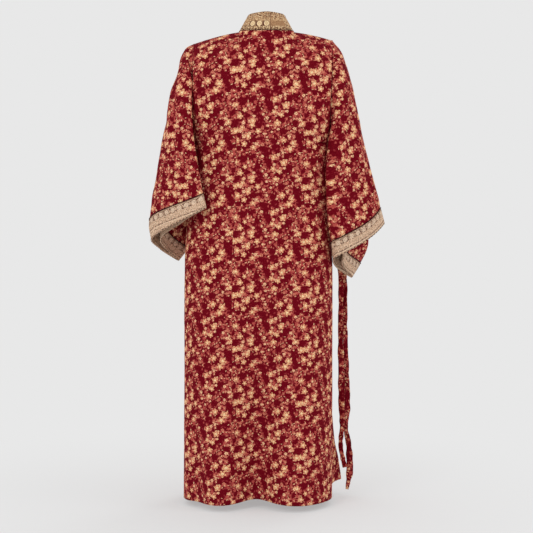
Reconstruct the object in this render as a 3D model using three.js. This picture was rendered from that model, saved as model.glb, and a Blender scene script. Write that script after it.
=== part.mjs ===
import * as THREE from "three";

// Sizes in millimetres. +Z is up and the front faces -Y.
// The origin is the middle of the neck, level with the collar's seam at the nape.
const CLOTH = 2; // wall of one layer of print
const BAND = 3; // wall of the doubled border cloth
const SEAM = 0.3; // gap between two pieces at a seam
const HEM = -1335; // height of the hem
const UNDERARM = -318; // height where the side seam ends and the armhole begins
const ARMHOLE_DEPTH = 72; // half the armhole's width, front to back
const NECK_HALF = 79; // half the neckline's width at the shoulder line
const NECK_DEPTH = 70; // from the shoulder line back to the nape
const NECK_RISE = 8; // the neckline's height at the shoulder line
const DROP_LEFT = 32; // fall of the shoulder line on the wearer's left
const DROP_RIGHT = 27; // and on the wearer's right
const COLLAR_WIDTH = 54; // finished width of the collar
const CUFF_SHARE = 0.08; // share of the sleeve's length that the cuff takes
const CUFF_SLANT = 0.025; // how much further up the left cuff's seam runs away from the top fold
const SIDE_POWER = 2.4; // how square the body's section is

const ARMHOLE_ROWS = 12; // rows from the shoulder to the underarm
const SKIRT_ROWS = 10; // rows from the underarm to the hem
const SHOULDER_COLUMNS = 8; // columns from the neck or front edge to the side
const NECK_COLUMNS = 8; // columns along the back of the neck
const SLEEVE_ROWS = 13;
const CUFF_ROWS = 2;
const COLLAR_COLUMNS = 3;

// The body's section: its middle, half its width, and its depth behind and before the shoulder line.
const LEVELS = [
  { z: 20, centre: 9, half: 200, back: 104, front: 96 },
  { z: -120, centre: 12, half: 198, back: 112, front: 112 },
  { z: -280, centre: 15, half: 196, back: 117, front: 128 },
  { z: -450, centre: 18, half: 205, back: 112, front: 122 },
  { z: -650, centre: 22.5, half: 213.5, back: 120, front: 124 },
  { z: -1000, centre: 23.5, half: 214, back: 132, front: 140 },
  { z: -1335, centre: 25, half: 214.5, back: 146, front: 163 },
];

// How far down the body takes to round over at the top, and how sharply, by distance from the middle.
const ROUND_BACK = [
  { x: 0, reach: 190, power: 0.95 },
  { x: 60, reach: 160, power: 0.8 },
  { x: 79, reach: 130, power: 0.65 },
  { x: 140, reach: 100, power: 0.5 },
  { x: 220, reach: 95, power: 0.5 },
];
const ROUND_FRONT = [
  { x: 0, reach: 165, power: 0.7 },
  { x: 79, reach: 165, power: 0.7 },
  { x: 140, reach: 110, power: 0.52 },
  { x: 220, reach: 95, power: 0.5 },
];

// The front edges: the middle between them and each collar seam's distance from it.
const FRONT_EDGE = [
  { z: -1335, middle: 18, half: 74 },
  { z: -700, middle: 12, half: 64 },
  { z: -300, middle: 5, half: 62 },
  { z: -120, middle: 2, half: 65 },
  { z: -40, middle: 0.5, half: 71 },
  { z: 8, middle: 0, half: 79 },
];

// Soft upright folds. Each starts at a height and deepens to the hem; side 1 is the back and -1 the front.
const FOLDS = [
  { side: 1, x: 30, width: 50, start: -520, depth: -62 },
  { side: 1, x: -112, width: 55, start: -640, depth: 20 },
  { side: 1, x: 140, width: 42, start: -700, depth: 10 },
  { side: 1, x: 200, width: 26, start: -820, depth: -30 },
  { side: -1, x: 150, width: 30, start: -620, depth: -28 },
  { side: -1, x: 100, width: 45, start: -700, depth: 5 },
  { side: -1, x: -60, width: 40, start: -760, depth: -26 },
];

// The front's lower corners swing outwards: start height, distance out, and rise at the hem.
const FLARE_LEFT = { start: -900, out: 26, rise: 6 };
const FLARE_RIGHT = { start: -880, out: 88, rise: 26 };

// Rails that the sleeves are lofted along, from the armhole (s 0) to the cuff's edge (s 1). They run along
// the middle of the flattened sleeve: its top fold, three lines across it, and its underarm seam.
const LEFT_RAILS = {
  top: [
    { s: 0.1, x: 232, y: 24, z: -46 },
    { s: 0.2, x: 227, y: 66, z: -98 },
    { s: 0.3, x: 220, y: 89, z: -150 },
    { s: 0.55, x: 207, y: 101, z: -280 },
    { s: 0.8, x: 190, y: 104, z: -405 },
    { s: 1, x: 168, y: 114, z: -507 },
  ],
  near: [
    { s: 0.1, x: 234, y: 8, z: -100 },
    { s: 0.2, x: 238, y: 42, z: -148 },
    { s: 0.3, x: 244, y: 66, z: -205 },
    { s: 0.55, x: 248, y: 84, z: -322 },
    { s: 0.8, x: 254, y: 90, z: -440 },
    { s: 1, x: 245, y: 96, z: -548 },
  ],
  wrap: [
    { s: 0.1, x: 235, y: 2, z: -190 },
    { s: 0.2, x: 244, y: 14, z: -228 },
    { s: 0.3, x: 256, y: 26, z: -268 },
    { s: 0.55, x: 282, y: 34, z: -375 },
    { s: 0.8, x: 308, y: 34, z: -482 },
    { s: 0.92, x: 320, y: 32, z: -546 },
    { s: 1, x: 316, y: 28, z: -590 },
  ],
  far: [
    { s: 0.1, x: 233, y: -6, z: -270 },
    { s: 0.3, x: 250, y: -14, z: -335 },
    { s: 0.55, x: 264, y: -24, z: -430 },
    { s: 0.8, x: 276, y: -36, z: -532 },
    { s: 0.92, x: 294, y: -34, z: -590 },
    { s: 1, x: 300, y: -30, z: -622 },
  ],
  under: [
    { s: 0.1, x: 229, y: -12, z: -350 },
    { s: 0.3, x: 236, y: -36, z: -405 },
    { s: 0.55, x: 234, y: -64, z: -482 },
    { s: 0.8, x: 226, y: -84, z: -572 },
    { s: 0.92, x: 241, y: -84, z: -626 },
    { s: 1, x: 261, y: -76, z: -654 },
  ],
};
const RIGHT_RAILS = {
  top: [
    { s: 0.1, x: -220, y: 6, z: -62 },
    { s: 0.3, x: -249, y: 10, z: -172 },
    { s: 0.55, x: -279, y: 12, z: -306 },
    { s: 0.8, x: -311, y: 16, z: -434 },
    { s: 1, x: -340, y: 20, z: -546 },
  ],
  near: [
    { s: 0.1, x: -210, y: 16, z: -124 },
    { s: 0.3, x: -226, y: 36, z: -228 },
    { s: 0.55, x: -243, y: 48, z: -352 },
    { s: 0.8, x: -263, y: 56, z: -480 },
    { s: 1, x: -286, y: 60, z: -592 },
  ],
  wrap: [
    { s: 0.1, x: -203, y: 22, z: -200 },
    { s: 0.3, x: -206, y: 52, z: -295 },
    { s: 0.55, x: -194, y: 78, z: -405 },
    { s: 0.8, x: -192, y: 84, z: -528 },
    { s: 1, x: -211, y: 84, z: -640 },
  ],
  far: [
    { s: 0.1, x: -206, y: 2, z: -276 },
    { s: 0.3, x: -222, y: 8, z: -358 },
    { s: 0.55, x: -238, y: 6, z: -462 },
    { s: 0.8, x: -234, y: 8, z: -570 },
    { s: 1, x: -209, y: 22, z: -670 },
  ],
  under: [
    { s: 0.1, x: -208, y: -10, z: -350 },
    { s: 0.3, x: -240, y: -26, z: -412 },
    { s: 0.55, x: -276, y: -42, z: -500 },
    { s: 0.8, x: -299, y: -54, z: -598 },
    { s: 0.92, x: -277, y: -62, z: -662 },
    { s: 1, x: -252, y: -65, z: -704 },
  ],
};

// Half the space between a sleeve's two layers, and how far its axis has turned from level to hanging.
const SLEEVE_FORM = [
  { s: 0, gap: 72, turn: 0 },
  { s: 0.1, gap: 58, turn: 40 },
  { s: 0.3, gap: 38, turn: 68 },
  { s: 0.55, gap: 28, turn: 82 },
  { s: 0.8, gap: 20, turn: 88 },
  { s: 1, gap: 14, turn: 90 },
];

// The collar's lean: the direction from its seam to its free edge. Station 0 is the nape, 1 the shoulder
// line, and each later station is a row of the front.
const COLLAR_LEAN = [
  { station: 0, x: 0, y: -0.26, z: 0.96 },
  { station: 0.6, x: -0.3, y: -0.26, z: 0.92 },
  { station: 1, x: -0.5, y: -0.24, z: 0.83 },
  { station: 3, x: -0.8, y: -0.28, z: 0.53 },
  { station: 6, x: -0.95, y: -0.2, z: 0.22 },
  { station: 10, x: -0.99, y: -0.08, z: 0.06 },
  { station: 14, x: -1, y: -0.03, z: 0 },
  { station: 24, x: -1, y: -0.02, z: 0 },
];

// The belt loop stands out from the right side seam.
const LOOP = { top: -424, bottom: -472, width: 9, standoff: 9.5 };

// The belt, from one end over the loop to the other. turn is the angle of its width about its path, half is
// half its folded width, and open is the space between its two folded halves.
const BELT_PATH = [
  { x: -234, y: -84, z: -1268, turn: 75, half: 7, open: 6 },
  { x: -226, y: -85, z: -1240, turn: 110, half: 6.5, open: 6 },
  { x: -220, y: -84, z: -1195, turn: 70, half: 6.5, open: 5 },
  { x: -225, y: -84, z: -1145, turn: 95, half: 7, open: 6 },
  { x: -223, y: -84, z: -1080, turn: 75, half: 9, open: 7 },
  { x: -222, y: -84, z: -985, turn: 105, half: 9, open: 6 },
  { x: -220, y: -84, z: -870, turn: 70, half: 7.5, open: 5 },
  { x: -221, y: -84, z: -745, turn: 95, half: 7, open: 6 },
  { x: -217, y: -76, z: -660, turn: 80, half: 6.5, open: 5 },
  { x: -205, y: -54, z: -560, turn: 40, half: 6.5, open: 4 },
  { x: -197.5, y: -32, z: -490, turn: 5, half: 6, open: 3 },
  { x: -193, y: -24, z: -462, turn: 0, half: 6, open: 2.8 },
  { x: -191.8, y: -12, z: -448, turn: 0, half: 6, open: 2.8 },
  { x: -191.8, y: 4, z: -444, turn: 0, half: 6, open: 2.8 },
  { x: -193, y: 12, z: -456, turn: 0, half: 5, open: 2.8 },
  { x: -198.5, y: 6, z: -482, turn: 10, half: 5, open: 2.8 },
  { x: -207, y: -14, z: -540, turn: 30, half: 5.5, open: 3 },
  { x: -221, y: -44, z: -610, turn: 60, half: 6, open: 4 },
  { x: -233, y: -90, z: -700, turn: 90, half: 6.5, open: 5 },
  { x: -234, y: -95, z: -800, turn: 115, half: 7, open: 4.5 },
  { x: -235, y: -95, z: -890, turn: 75, half: 7, open: 5 },
  { x: -238, y: -95, z: -1000, turn: 100, half: 9, open: 6 },
  { x: -240, y: -95, z: -1090, turn: 70, half: 9, open: 6 },
  { x: -236, y: -95, z: -1150, turn: 95, half: 7, open: 6 },
  { x: -245, y: -94, z: -1205, turn: 110, half: 8, open: 6 },
  { x: -248, y: -92, z: -1275, turn: 80, half: 10, open: 6 },
  { x: -240, y: -92, z: -1335, turn: 90, half: 4, open: 4 },
];

const rad = (degrees) => (degrees * Math.PI) / 180;
const clamp = (value, low, high) => Math.min(Math.max(value, low), high);
const mix = (from, to, share) => from + (to - from) * share;
const ramp = (value) => clamp(value, 0, 1) ** 2 * (3 - 2 * clamp(value, 0, 1));
const vector = (x, y, z) => new THREE.Vector3(x, y, z);

// A smooth curve through a table's rows, read at one value of its first column.
function read(table, key, value) {
  const rows = [...table].sort((a, b) => a[key] - b[key]);
  const last = rows.length - 1;
  const inside = clamp(value, rows[0][key], rows[last][key]);
  let i = 0;
  while (i < last - 1 && inside > rows[i + 1][key]) i += 1;
  const [a, b] = [rows[i], rows[i + 1]];
  const [before, after] = [rows[Math.max(i - 1, 0)], rows[Math.min(i + 2, last)]];
  const span = b[key] - a[key];
  const t = (inside - a[key]) / span;
  const result = {};
  for (const name of Object.keys(a)) {
    const slopeA = ((b[name] - before[name]) / (b[key] - before[key])) * span;
    const slopeB = ((after[name] - a[name]) / (after[key] - a[key])) * span;
    result[name] = hermite(a[name], b[name], slopeA, slopeB, t);
  }
  return result;
}

function hermite(a, b, slopeA, slopeB, t) {
  const t2 = t * t;
  const t3 = t2 * t;
  const ends = a * (2 * t3 - 3 * t2 + 1) + b * (3 * t2 - 2 * t3);
  return ends + slopeA * (t3 - 2 * t2 + t) + slopeB * (t3 - t2);
}

// ---- The body ----

const sectionWidth = (x, z) => {
  const level = read(LEVELS, "z", z);
  return clamp(Math.abs(x - level.centre) / level.half, 0, 1);
};

const bulgeAt = (x, z) => (1 - sectionWidth(x, z) ** SIDE_POWER) ** (1 / SIDE_POWER);

function foldDepth(side, x, z) {
  let depth = 0;
  for (const fold of FOLDS) {
    if (fold.side !== side) continue;
    const across = Math.exp(-(((x - fold.x) / fold.width) ** 2));
    depth += fold.depth * across * ramp((fold.start - z) / (fold.start - HEM));
  }
  return depth;
}

// The shoulder line's or the back neckline's point above a column.
function topPoint(side, x) {
  const u = Math.min(Math.abs(x) / NECK_HALF, 1);
  if (u < 1 && side > 0) {
    const y = NECK_DEPTH * (1 - u ** 2.2) ** (1 / 2.2);
    return vector(x, y, NECK_RISE * u ** 3);
  }
  const drop = x > 0 ? DROP_LEFT : DROP_RIGHT;
  const along = Math.max(Math.abs(x) - NECK_HALF, 0) / 125;
  return vector(x, 0, NECK_RISE - drop * along ** 1.15);
}

// The armhole is an ellipse at the panel's edge, and its swell dies away smoothly further in.
function armholeAt(z, tip, bulge) {
  const t = clamp((tip - z) / (tip - UNDERARM), 0, 1);
  const power = mix(0.5, 1.2, Math.min(1.2 * bulge, 1));
  return ARMHOLE_DEPTH * Math.max(1 - (2 * t - 1) ** 2, 0) ** power;
}

// Row 0 is the top, ARMHOLE_ROWS the underarm's level and the last row the hem.
function rowHeight(top, row) {
  if (row <= ARMHOLE_ROWS) {
    return mix(top, UNDERARM, (1 - Math.cos((Math.PI * row) / ARMHOLE_ROWS)) / 2);
  }
  return mix(UNDERARM, HEM, (row - ARMHOLE_ROWS) / SKIRT_ROWS);
}

const LAST_ROW = ARMHOLE_ROWS + SKIRT_ROWS;
const sideX = (hand, z) => {
  const level = read(LEVELS, "z", z);
  return level.centre + hand * level.half;
};
const TIP = { 1: topPoint(1, sideX(1, -20)), "-1": topPoint(1, sideX(-1, -20)) };

function bodyDepth(side, x, z, top, hand) {
  const bulge = bulgeAt(x, z);
  const level = read(LEVELS, "z", z);
  const full = (side > 0 ? level.back : level.front) + foldDepth(side, x, z);
  const round = read(side > 0 ? ROUND_BACK : ROUND_FRONT, "x", Math.abs(top.x));
  const fall = clamp((top.z - z) / round.reach, 0, 1);
  const eased = (1 - (1 - fall) ** 2) ** round.power;
  const start = bulge > 0 ? top.y / bulge : 0;
  return armholeAt(z, TIP[hand].z, bulge) * (1 - bulge) + mix(start, full, eased) * bulge;
}

// share runs over one half of a panel: 0 at the neck or front edge and 1 at the side.
const shoulderX = (hand, share) => mix(hand * NECK_HALF, TIP[hand].x, share);

function backPoint(column, row) {
  const count = NECK_COLUMNS / 2;
  const hand = column < 0 ? -1 : 1;
  const n = Math.abs(column);
  const sine = (value) => Math.sin((Math.PI / 2) * value);
  const onNeck = hand * NECK_HALF * sine(n / count);
  const x = n <= count ? onNeck : shoulderX(hand, sine((n - count) / SHOULDER_COLUMNS));
  const top = topPoint(1, clamp(x, -200, 220));
  const z = rowHeight(top.z, row);
  const flat = read(LEVELS, "z", -20);
  const level = read(LEVELS, "z", z);
  const here = row === 0 ? x : level.centre + (level.half * (x - flat.centre)) / flat.half;
  return vector(here, bodyDepth(1, here, z, top, hand), z + hemRise(here, z));
}

const hemRise = (x, z) => 7 * Math.exp(-(((x - 30) / 60) ** 2)) * ramp((-1000 - z) / 335);

function frontPoint(hand, column, row) {
  const share = Math.sin((Math.PI / 2) * (column / SHOULDER_COLUMNS));
  const top = topPoint(-1, shoulderX(hand, share));
  const z = rowHeight(top.z, row);
  const edge = read(FRONT_EDGE, "z", z);
  const inner = row === 0 ? hand * NECK_HALF : edge.middle + hand * edge.half;
  const x = mix(inner, row === 0 ? TIP[hand].x : sideX(hand, z), share);
  const depth = bodyDepth(-1, x, z, top, hand);
  const flare = hand > 0 ? FLARE_LEFT : FLARE_RIGHT;
  const across = Math.exp(-(((share - 0.66) / 0.27) ** 2)) * (1 - share ** 6);
  const swing = across * clamp((flare.start - z) / (flare.start - HEM), 0, 1) ** 0.75;
  const out = hand * flare.out * swing;
  const lifted = flare.rise * (1 - share ** 14) * ramp((share - 0.2) / 0.4);
  const rise = lifted * ramp((-1100 - z) / (-1100 - HEM));
  return vector(x + out, -depth - 10 * swing, z + rise);
}

// ---- Shells ----

// A closed wall between two grids of points. A wrapped grid joins its last column to its first.
function wall(outer, inner, wrapped) {
  const rows = outer.length;
  const columns = outer[0].length;
  const points = [...outer.flat(), ...inner.flat()];
  const faces = [];
  const at = (layer, row, column) => layer * rows * columns + row * columns + (column % columns);
  const quad = (a, b, c, d) => faces.push([a, b, c], [a, c, d]);
  const spans = wrapped ? columns : columns - 1;
  for (let r = 0; r < rows - 1; r += 1) {
    for (let c = 0; c < spans; c += 1) {
      quad(at(0, r, c), at(0, r, c + 1), at(0, r + 1, c + 1), at(0, r + 1, c));
      quad(at(1, r, c), at(1, r + 1, c), at(1, r + 1, c + 1), at(1, r, c + 1));
    }
  }
  for (let c = 0; c < spans; c += 1) {
    quad(at(0, 0, c), at(1, 0, c), at(1, 0, c + 1), at(0, 0, c + 1));
    quad(at(0, rows - 1, c), at(0, rows - 1, c + 1), at(1, rows - 1, c + 1), at(1, rows - 1, c));
  }
  for (let r = 0; r < rows - 1 && !wrapped; r += 1) {
    quad(at(0, r, 0), at(0, r + 1, 0), at(1, r + 1, 0), at(1, r, 0));
    const end = columns - 1;
    quad(at(0, r, end), at(1, r, end), at(1, r + 1, end), at(0, r + 1, end));
  }
  return outwards(points, faces);
}

function outwards(points, faces) {
  let volume = 0;
  for (const [a, b, c] of faces) {
    volume += points[a].dot(vector(0, 0, 0).crossVectors(points[b], points[c]));
  }
  const turned = volume < 0 ? faces.map(([a, b, c]) => [a, c, b]) : faces;
  const geometry = new THREE.BufferGeometry();
  const numbers = points.flatMap((p) => p.toArray());
  geometry.setAttribute("position", new THREE.Float32BufferAttribute(numbers, 3));
  geometry.setIndex(turned.flat());
  geometry.computeVertexNormals();
  return geometry;
}

// Unit normals of a grid, from points that may continue past its edges. At its middle they face towards.
function gridNormals(rows, columns, pointAt, towards) {
  const normalAt = (r, c) => {
    const along = pointAt(r, c + 1).clone().sub(pointAt(r, c - 1));
    const down = pointAt(r + 1, c).clone().sub(pointAt(r - 1, c));
    return along.cross(down).normalize();
  };
  const sign = Math.sign(normalAt(rows >> 1, columns >> 1).dot(towards));
  const normals = [];
  for (let r = 0; r < rows; r += 1) {
    const line = [];
    for (let c = 0; c < columns; c += 1) line.push(normalAt(r, c).multiplyScalar(sign));
    normals.push(line);
  }
  return normals;
}

// Moves a grid's edge points inwards along the cloth, by half a seam's gap.
function trimmed(grid, edges) {
  const rows = grid.length;
  const columns = grid[0].length;
  const result = grid.map((line) => line.map((point) => point.clone()));
  const pull = (r, c, r2, c2) => {
    const step = grid[r2][c2].clone().sub(grid[r][c]).setLength(SEAM / 2);
    result[r][c].add(step);
  };
  for (let r = 0; r < rows; r += 1) {
    if (edges.includes("first")) pull(r, 0, r, 1);
    if (edges.includes("last")) pull(r, columns - 1, r, columns - 2);
  }
  for (let c = 0; c < columns; c += 1) {
    if (edges.includes("top")) pull(0, c, 1, c);
    if (edges.includes("bottom")) pull(rows - 1, c, rows - 2, c);
  }
  return result;
}

const moved = (grid, normals, distance) =>
  grid.map((line, r) => line.map((point, c) => point.clone().addScaledVector(normals[r][c], distance)));

function panel(rows, columns, pointAt, towards, thickness, edges) {
  const grid = [];
  for (let r = 0; r < rows; r += 1) {
    const line = [];
    for (let c = 0; c < columns; c += 1) line.push(pointAt(r, c));
    grid.push(line);
  }
  const normals = gridNormals(rows, columns, pointAt, towards);
  const outer = trimmed(grid, edges);
  return wall(outer, moved(outer, normals, -thickness), false);
}

const HALF_BACK = NECK_COLUMNS / 2 + SHOULDER_COLUMNS;

// Past its own edges a panel's grid goes on into its neighbour, so that both share their edge's normals.
function backGrid(row, index) {
  const column = index - HALF_BACK;
  const hand = column < 0 ? -1 : 1;
  const inside = Math.min(row, LAST_ROW);
  if (Math.abs(column) > HALF_BACK) {
    if (row >= ARMHOLE_ROWS) return frontPoint(hand, SHOULDER_COLUMNS - 1, inside);
    return carriedOn((c) => backPoint(hand * c, Math.max(row, 0)), HALF_BACK);
  }
  if (row >= 0) return backPoint(column, inside);
  const onShoulder = Math.abs(column) >= NECK_COLUMNS / 2;
  return onShoulder ? frontPoint(hand, Math.abs(column) - NECK_COLUMNS / 2, 1) : backPoint(column, 0);
}

function frontGrid(hand, row, index) {
  const inside = clamp(row, 0, LAST_ROW);
  if (index < 0) return frontPoint(hand, 0, inside);
  if (index > SHOULDER_COLUMNS) {
    if (row >= ARMHOLE_ROWS) return backPoint(hand * (HALF_BACK - 1), inside);
    return carriedOn((c) => frontPoint(hand, c, inside), SHOULDER_COLUMNS);
  }
  return row < 0 ? backPoint(hand * (index + NECK_COLUMNS / 2), 1) : frontPoint(hand, index, inside);
}

// A point past a panel's armhole edge, in line with its last columns.
function carriedOn(pointAt, last) {
  const step = pointAt(last).clone().sub(pointAt(last - 2));
  return pointAt(last).clone().add(step);
}

function backPanel() {
  const ends = ["first", "last", "top"];
  return panel(LAST_ROW + 1, 2 * HALF_BACK + 1, backGrid, vector(0, 1, 0), CLOTH, ends);
}

function frontPanel(hand) {
  const pointAt = (r, c) => frontGrid(hand, r, c);
  const ends = ["first", "last", "top"];
  return panel(LAST_ROW + 1, SHOULDER_COLUMNS + 1, pointAt, vector(0, -1, 0), CLOTH, ends);
}

// ---- The collar ----

const NAPE_STATIONS = NECK_COLUMNS / 2;

// Stations run from the nape round the neck and down the front edge.
function collarSeam(hand, station) {
  if (station <= NAPE_STATIONS) return backPoint(hand * Math.max(station, 0), 0);
  return frontPoint(hand, 0, Math.min(station - NAPE_STATIONS, LAST_ROW));
}

function collarPoint(hand, station, column) {
  const count = Math.max(station, 0);
  const along = count <= NAPE_STATIONS ? count / NAPE_STATIONS : 1 + count - NAPE_STATIONS;
  const lean = read(COLLAR_LEAN, "station", along);
  const direction = vector(hand * lean.x, lean.y, lean.z).normalize();
  if (along > 4) {
    const row = Math.min(count - NAPE_STATIONS, LAST_ROW);
    const carried = frontPoint(hand, 0, row).sub(frontPoint(hand, 1, row)).normalize();
    direction.lerp(carried, 0.45 * ramp((along - 4) / 8)).normalize();
  }
  const start = collarSeam(hand, count);
  const seamAway = start.clone().addScaledVector(direction, 2 * SEAM);
  return seamAway.addScaledVector(direction, (COLLAR_WIDTH * column) / COLLAR_COLUMNS);
}

function collarHalf(hand) {
  const rows = NAPE_STATIONS + LAST_ROW + 1;
  const pointAt = (r, c) => {
    if (r < 0) {
      const mirror = collarPoint(hand, 1, clamp(c, 0, COLLAR_COLUMNS));
      return vector(-mirror.x, mirror.y, mirror.z);
    }
    return collarPoint(hand, Math.min(r, rows - 1), clamp(c, 0, COLLAR_COLUMNS));
  };
  return panel(rows, COLLAR_COLUMNS + 1, pointAt, vector(0, -1, 0), BAND, ["top"]);
}

// ---- The sleeves and cuffs ----

const RAIL_NAMES = ["top", "near", "wrap", "far", "under"];

function railPoint(hand, name, s) {
  const index = RAIL_NAMES.indexOf(name);
  const tip = TIP[hand];
  const z = mix(tip.z, UNDERARM, index / 4);
  const x = mix(tip.x, sideX(hand, UNDERARM), index / 4);
  const rails = hand > 0 ? LEFT_RAILS : RIGHT_RAILS;
  const point = read([{ s: 0, x, y: 0, z }, ...rails[name]], "s", s);
  return vector(point.x, point.y, point.z);
}

// The middle line across the flattened sleeve, from its top fold (q 0) to its underarm seam (q 1).
function middle(hand, s, q) {
  const rows = RAIL_NAMES.map((name, i) => ({ q: i / 4, ...railPoint(hand, name, s) }));
  const point = read(rows, "q", q);
  return vector(point.x, point.y, point.z);
}

function sleevePoint(hand, s, angle, inset) {
  const form = read(SLEEVE_FORM, "s", s);
  const length = middle(hand, s, 0).distanceTo(middle(hand, s, 0.5)) * 2;
  const edge = (1.6 * inset) / length;
  const q = mix(edge, 1 - edge, (1 - Math.cos(angle)) / 2);
  const ahead = middle(hand, s, Math.min(q + 0.02, 1));
  const behind = middle(hand, s, Math.max(q - 0.02, 0));
  const across = ahead.sub(behind).normalize();
  const axis = vector(hand * Math.cos(rad(form.turn)), 0, -Math.sin(rad(form.turn)));
  const normal = axis.cross(across).multiplyScalar(hand).normalize();
  return middle(hand, s, q).addScaledVector(normal, (form.gap - inset) * Math.sin(angle));
}

// The left cuff's seam lies further up the sleeve at its wrapped edge than at its top fold.
function slanted(hand, s, angle) {
  if (hand < 0) return s;
  const start = 1 - CUFF_SHARE;
  const near = s < start ? ramp((s - 0.3) / (start - 0.3)) : (1 - s) / CUFF_SHARE;
  return s - CUFF_SLANT * near * ramp(1 - Math.cos(angle));
}

// The armhole's own ring on the body, which the sleeve leaves from.
function armholePoint(hand, step) {
  const rows = ARMHOLE_ROWS;
  if (step <= rows) return backPoint(hand * HALF_BACK, step);
  return frontPoint(hand, SHOULDER_COLUMNS, 2 * rows - step);
}

function sleeveRing(hand, s, inset) {
  const ring = [];
  const fade = ramp(1 - s / 0.12);
  for (let step = 0; step < 2 * ARMHOLE_ROWS; step += 1) {
    const angle = (Math.PI * step) / ARMHOLE_ROWS;
    const point = sleevePoint(hand, slanted(hand, s, angle), angle, inset);
    const start = armholePoint(hand, step).sub(sleevePoint(hand, 0, angle, 0));
    ring.push(point.addScaledVector(start, fade));
  }
  return ring;
}

function sleeveTube(hand, from, to, rows, lift, thickness) {
  const outer = [];
  const inner = [];
  for (let r = 0; r <= rows; r += 1) {
    const s = mix(from, to, r / rows);
    outer.push(sleeveRing(hand, s, r > 0 ? -lift : 0));
    inner.push(sleeveRing(hand, s, r > 0 ? thickness - lift : CLOTH));
  }
  return wall(outer, inner, true);
}

const CUFF_START = 1 - CUFF_SHARE;
const SEAM_SHARE = SEAM / 520;

const sleeve = (hand) => sleeveTube(hand, 5 * SEAM_SHARE, CUFF_START, SLEEVE_ROWS, 0, CLOTH);
const cuffStart = (hand) => CUFF_START + (hand > 0 ? 3 : 6) * SEAM_SHARE;
const cuff = (hand) => sleeveTube(hand, cuffStart(hand), 1, CUFF_ROWS, 0.4, BAND);

// ---- The belt and its loop ----

// A closed strip: a section of points carried along a path of frames.
function strip(sections) {
  const points = sections.flat();
  const count = sections[0].length;
  const faces = [];
  for (let r = 0; r < sections.length - 1; r += 1) {
    for (let c = 0; c < count; c += 1) {
      const [a, b] = [r * count + c, r * count + ((c + 1) % count)];
      faces.push([a, b, b + count], [a, b + count, a + count]);
    }
  }
  const end = (sections.length - 1) * count;
  for (let c = 0; c < count / 2 - 1; c += 1) {
    const [a, b, d, e] = [c, c + 1, count - 2 - c, count - 1 - c];
    faces.push([a, d, b], [a, e, d]);
    faces.push([end + a, end + b, end + d], [end + a, end + d, end + e]);
  }
  return outwards(points, faces);
}

// The belt's folded section: one strip of cloth doubled lengthwise, as offsets across and through.
function beltSection(half, open) {
  const h = CLOTH / 2;
  const [edge, mid] = [open / 2, open / 2.4];
  const outer = [[half, edge + h], [0, mid + h], [-half - h, 0], [0, -mid - h], [half, -edge - h]];
  const inner = [[half, h - edge], [0, h - mid], [-half + 1.6 * h, 0], [0, mid - h], [half, edge - h]];
  return [...outer, ...inner];
}

function beltStation(t) {
  const rows = BELT_PATH.map((row, i) => ({ t: i, ...row }));
  return read(rows, "t", t);
}

function belt() {
  const last = BELT_PATH.length - 1;
  const stations = [];
  for (let t = 0; t <= last; t += 0.5) stations.push(t);
  const sections = stations.map((t) => {
    const here = beltStation(t);
    const [a, b] = [beltStation(Math.max(t - 0.2, 0)), beltStation(Math.min(t + 0.2, last))];
    const path = vector(b.x - a.x, b.y - a.y, b.z - a.z).normalize();
    const level = vector(1, 0, 0);
    const through = level.clone().addScaledVector(path, -level.dot(path)).normalize();
    const width = vector(0, 0, 0).crossVectors(path, through).normalize();
    const turned = through.clone().applyAxisAngle(path, rad(here.turn));
    const across = width.clone().applyAxisAngle(path, rad(here.turn));
    const centre = vector(here.x, here.y, here.z);
    return beltSection(here.half, here.open).map(([w, d]) =>
      centre.clone().addScaledVector(across, w).addScaledVector(turned, d));
  });
  return strip(sections);
}

function beltLoop() {
  const sections = [];
  const steps = 10;
  for (let i = 0; i <= steps; i += 1) {
    const z = mix(LOOP.top, LOOP.bottom, i / steps);
    const out = (LOOP.standoff - SEAM) * Math.sin((Math.PI * i) / steps) ** 0.6;
    const x = sideX(-1, z) - SEAM - out;
    const flat = LOOP.width / 2;
    const far = x - CLOTH;
    sections.push([vector(x, -flat, z), vector(x, flat, z), vector(far, flat, z), vector(far, -flat, z)]);
  }
  return strip(sections);
}

// ---- The pieces ----

const PRINT = 0x9c3b38;
const BORDER = 0xb8956f;

function piece(name, geometry, colour) {
  const material = new THREE.MeshStandardMaterial({ color: colour, roughness: 0.8, metalness: 0 });
  const mesh = new THREE.Mesh(geometry, material);
  mesh.name = name;
  return mesh;
}

const garment = new THREE.Group();
garment.name = "long_kimono";
garment.add(
  piece("back", backPanel(), PRINT),
  piece("front_left", frontPanel(1), PRINT),
  piece("front_right", frontPanel(-1), PRINT),
  piece("sleeve_left", sleeve(1), PRINT),
  piece("sleeve_right", sleeve(-1), PRINT),
  piece("cuff_left", cuff(1), BORDER),
  piece("cuff_right", cuff(-1), BORDER),
  piece("collar_left", collarHalf(1), BORDER),
  piece("collar_right", collarHalf(-1), BORDER),
  piece("belt_loop", beltLoop(), PRINT),
  piece("belt", belt(), PRINT),
);

export default garment;
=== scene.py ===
import math

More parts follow.
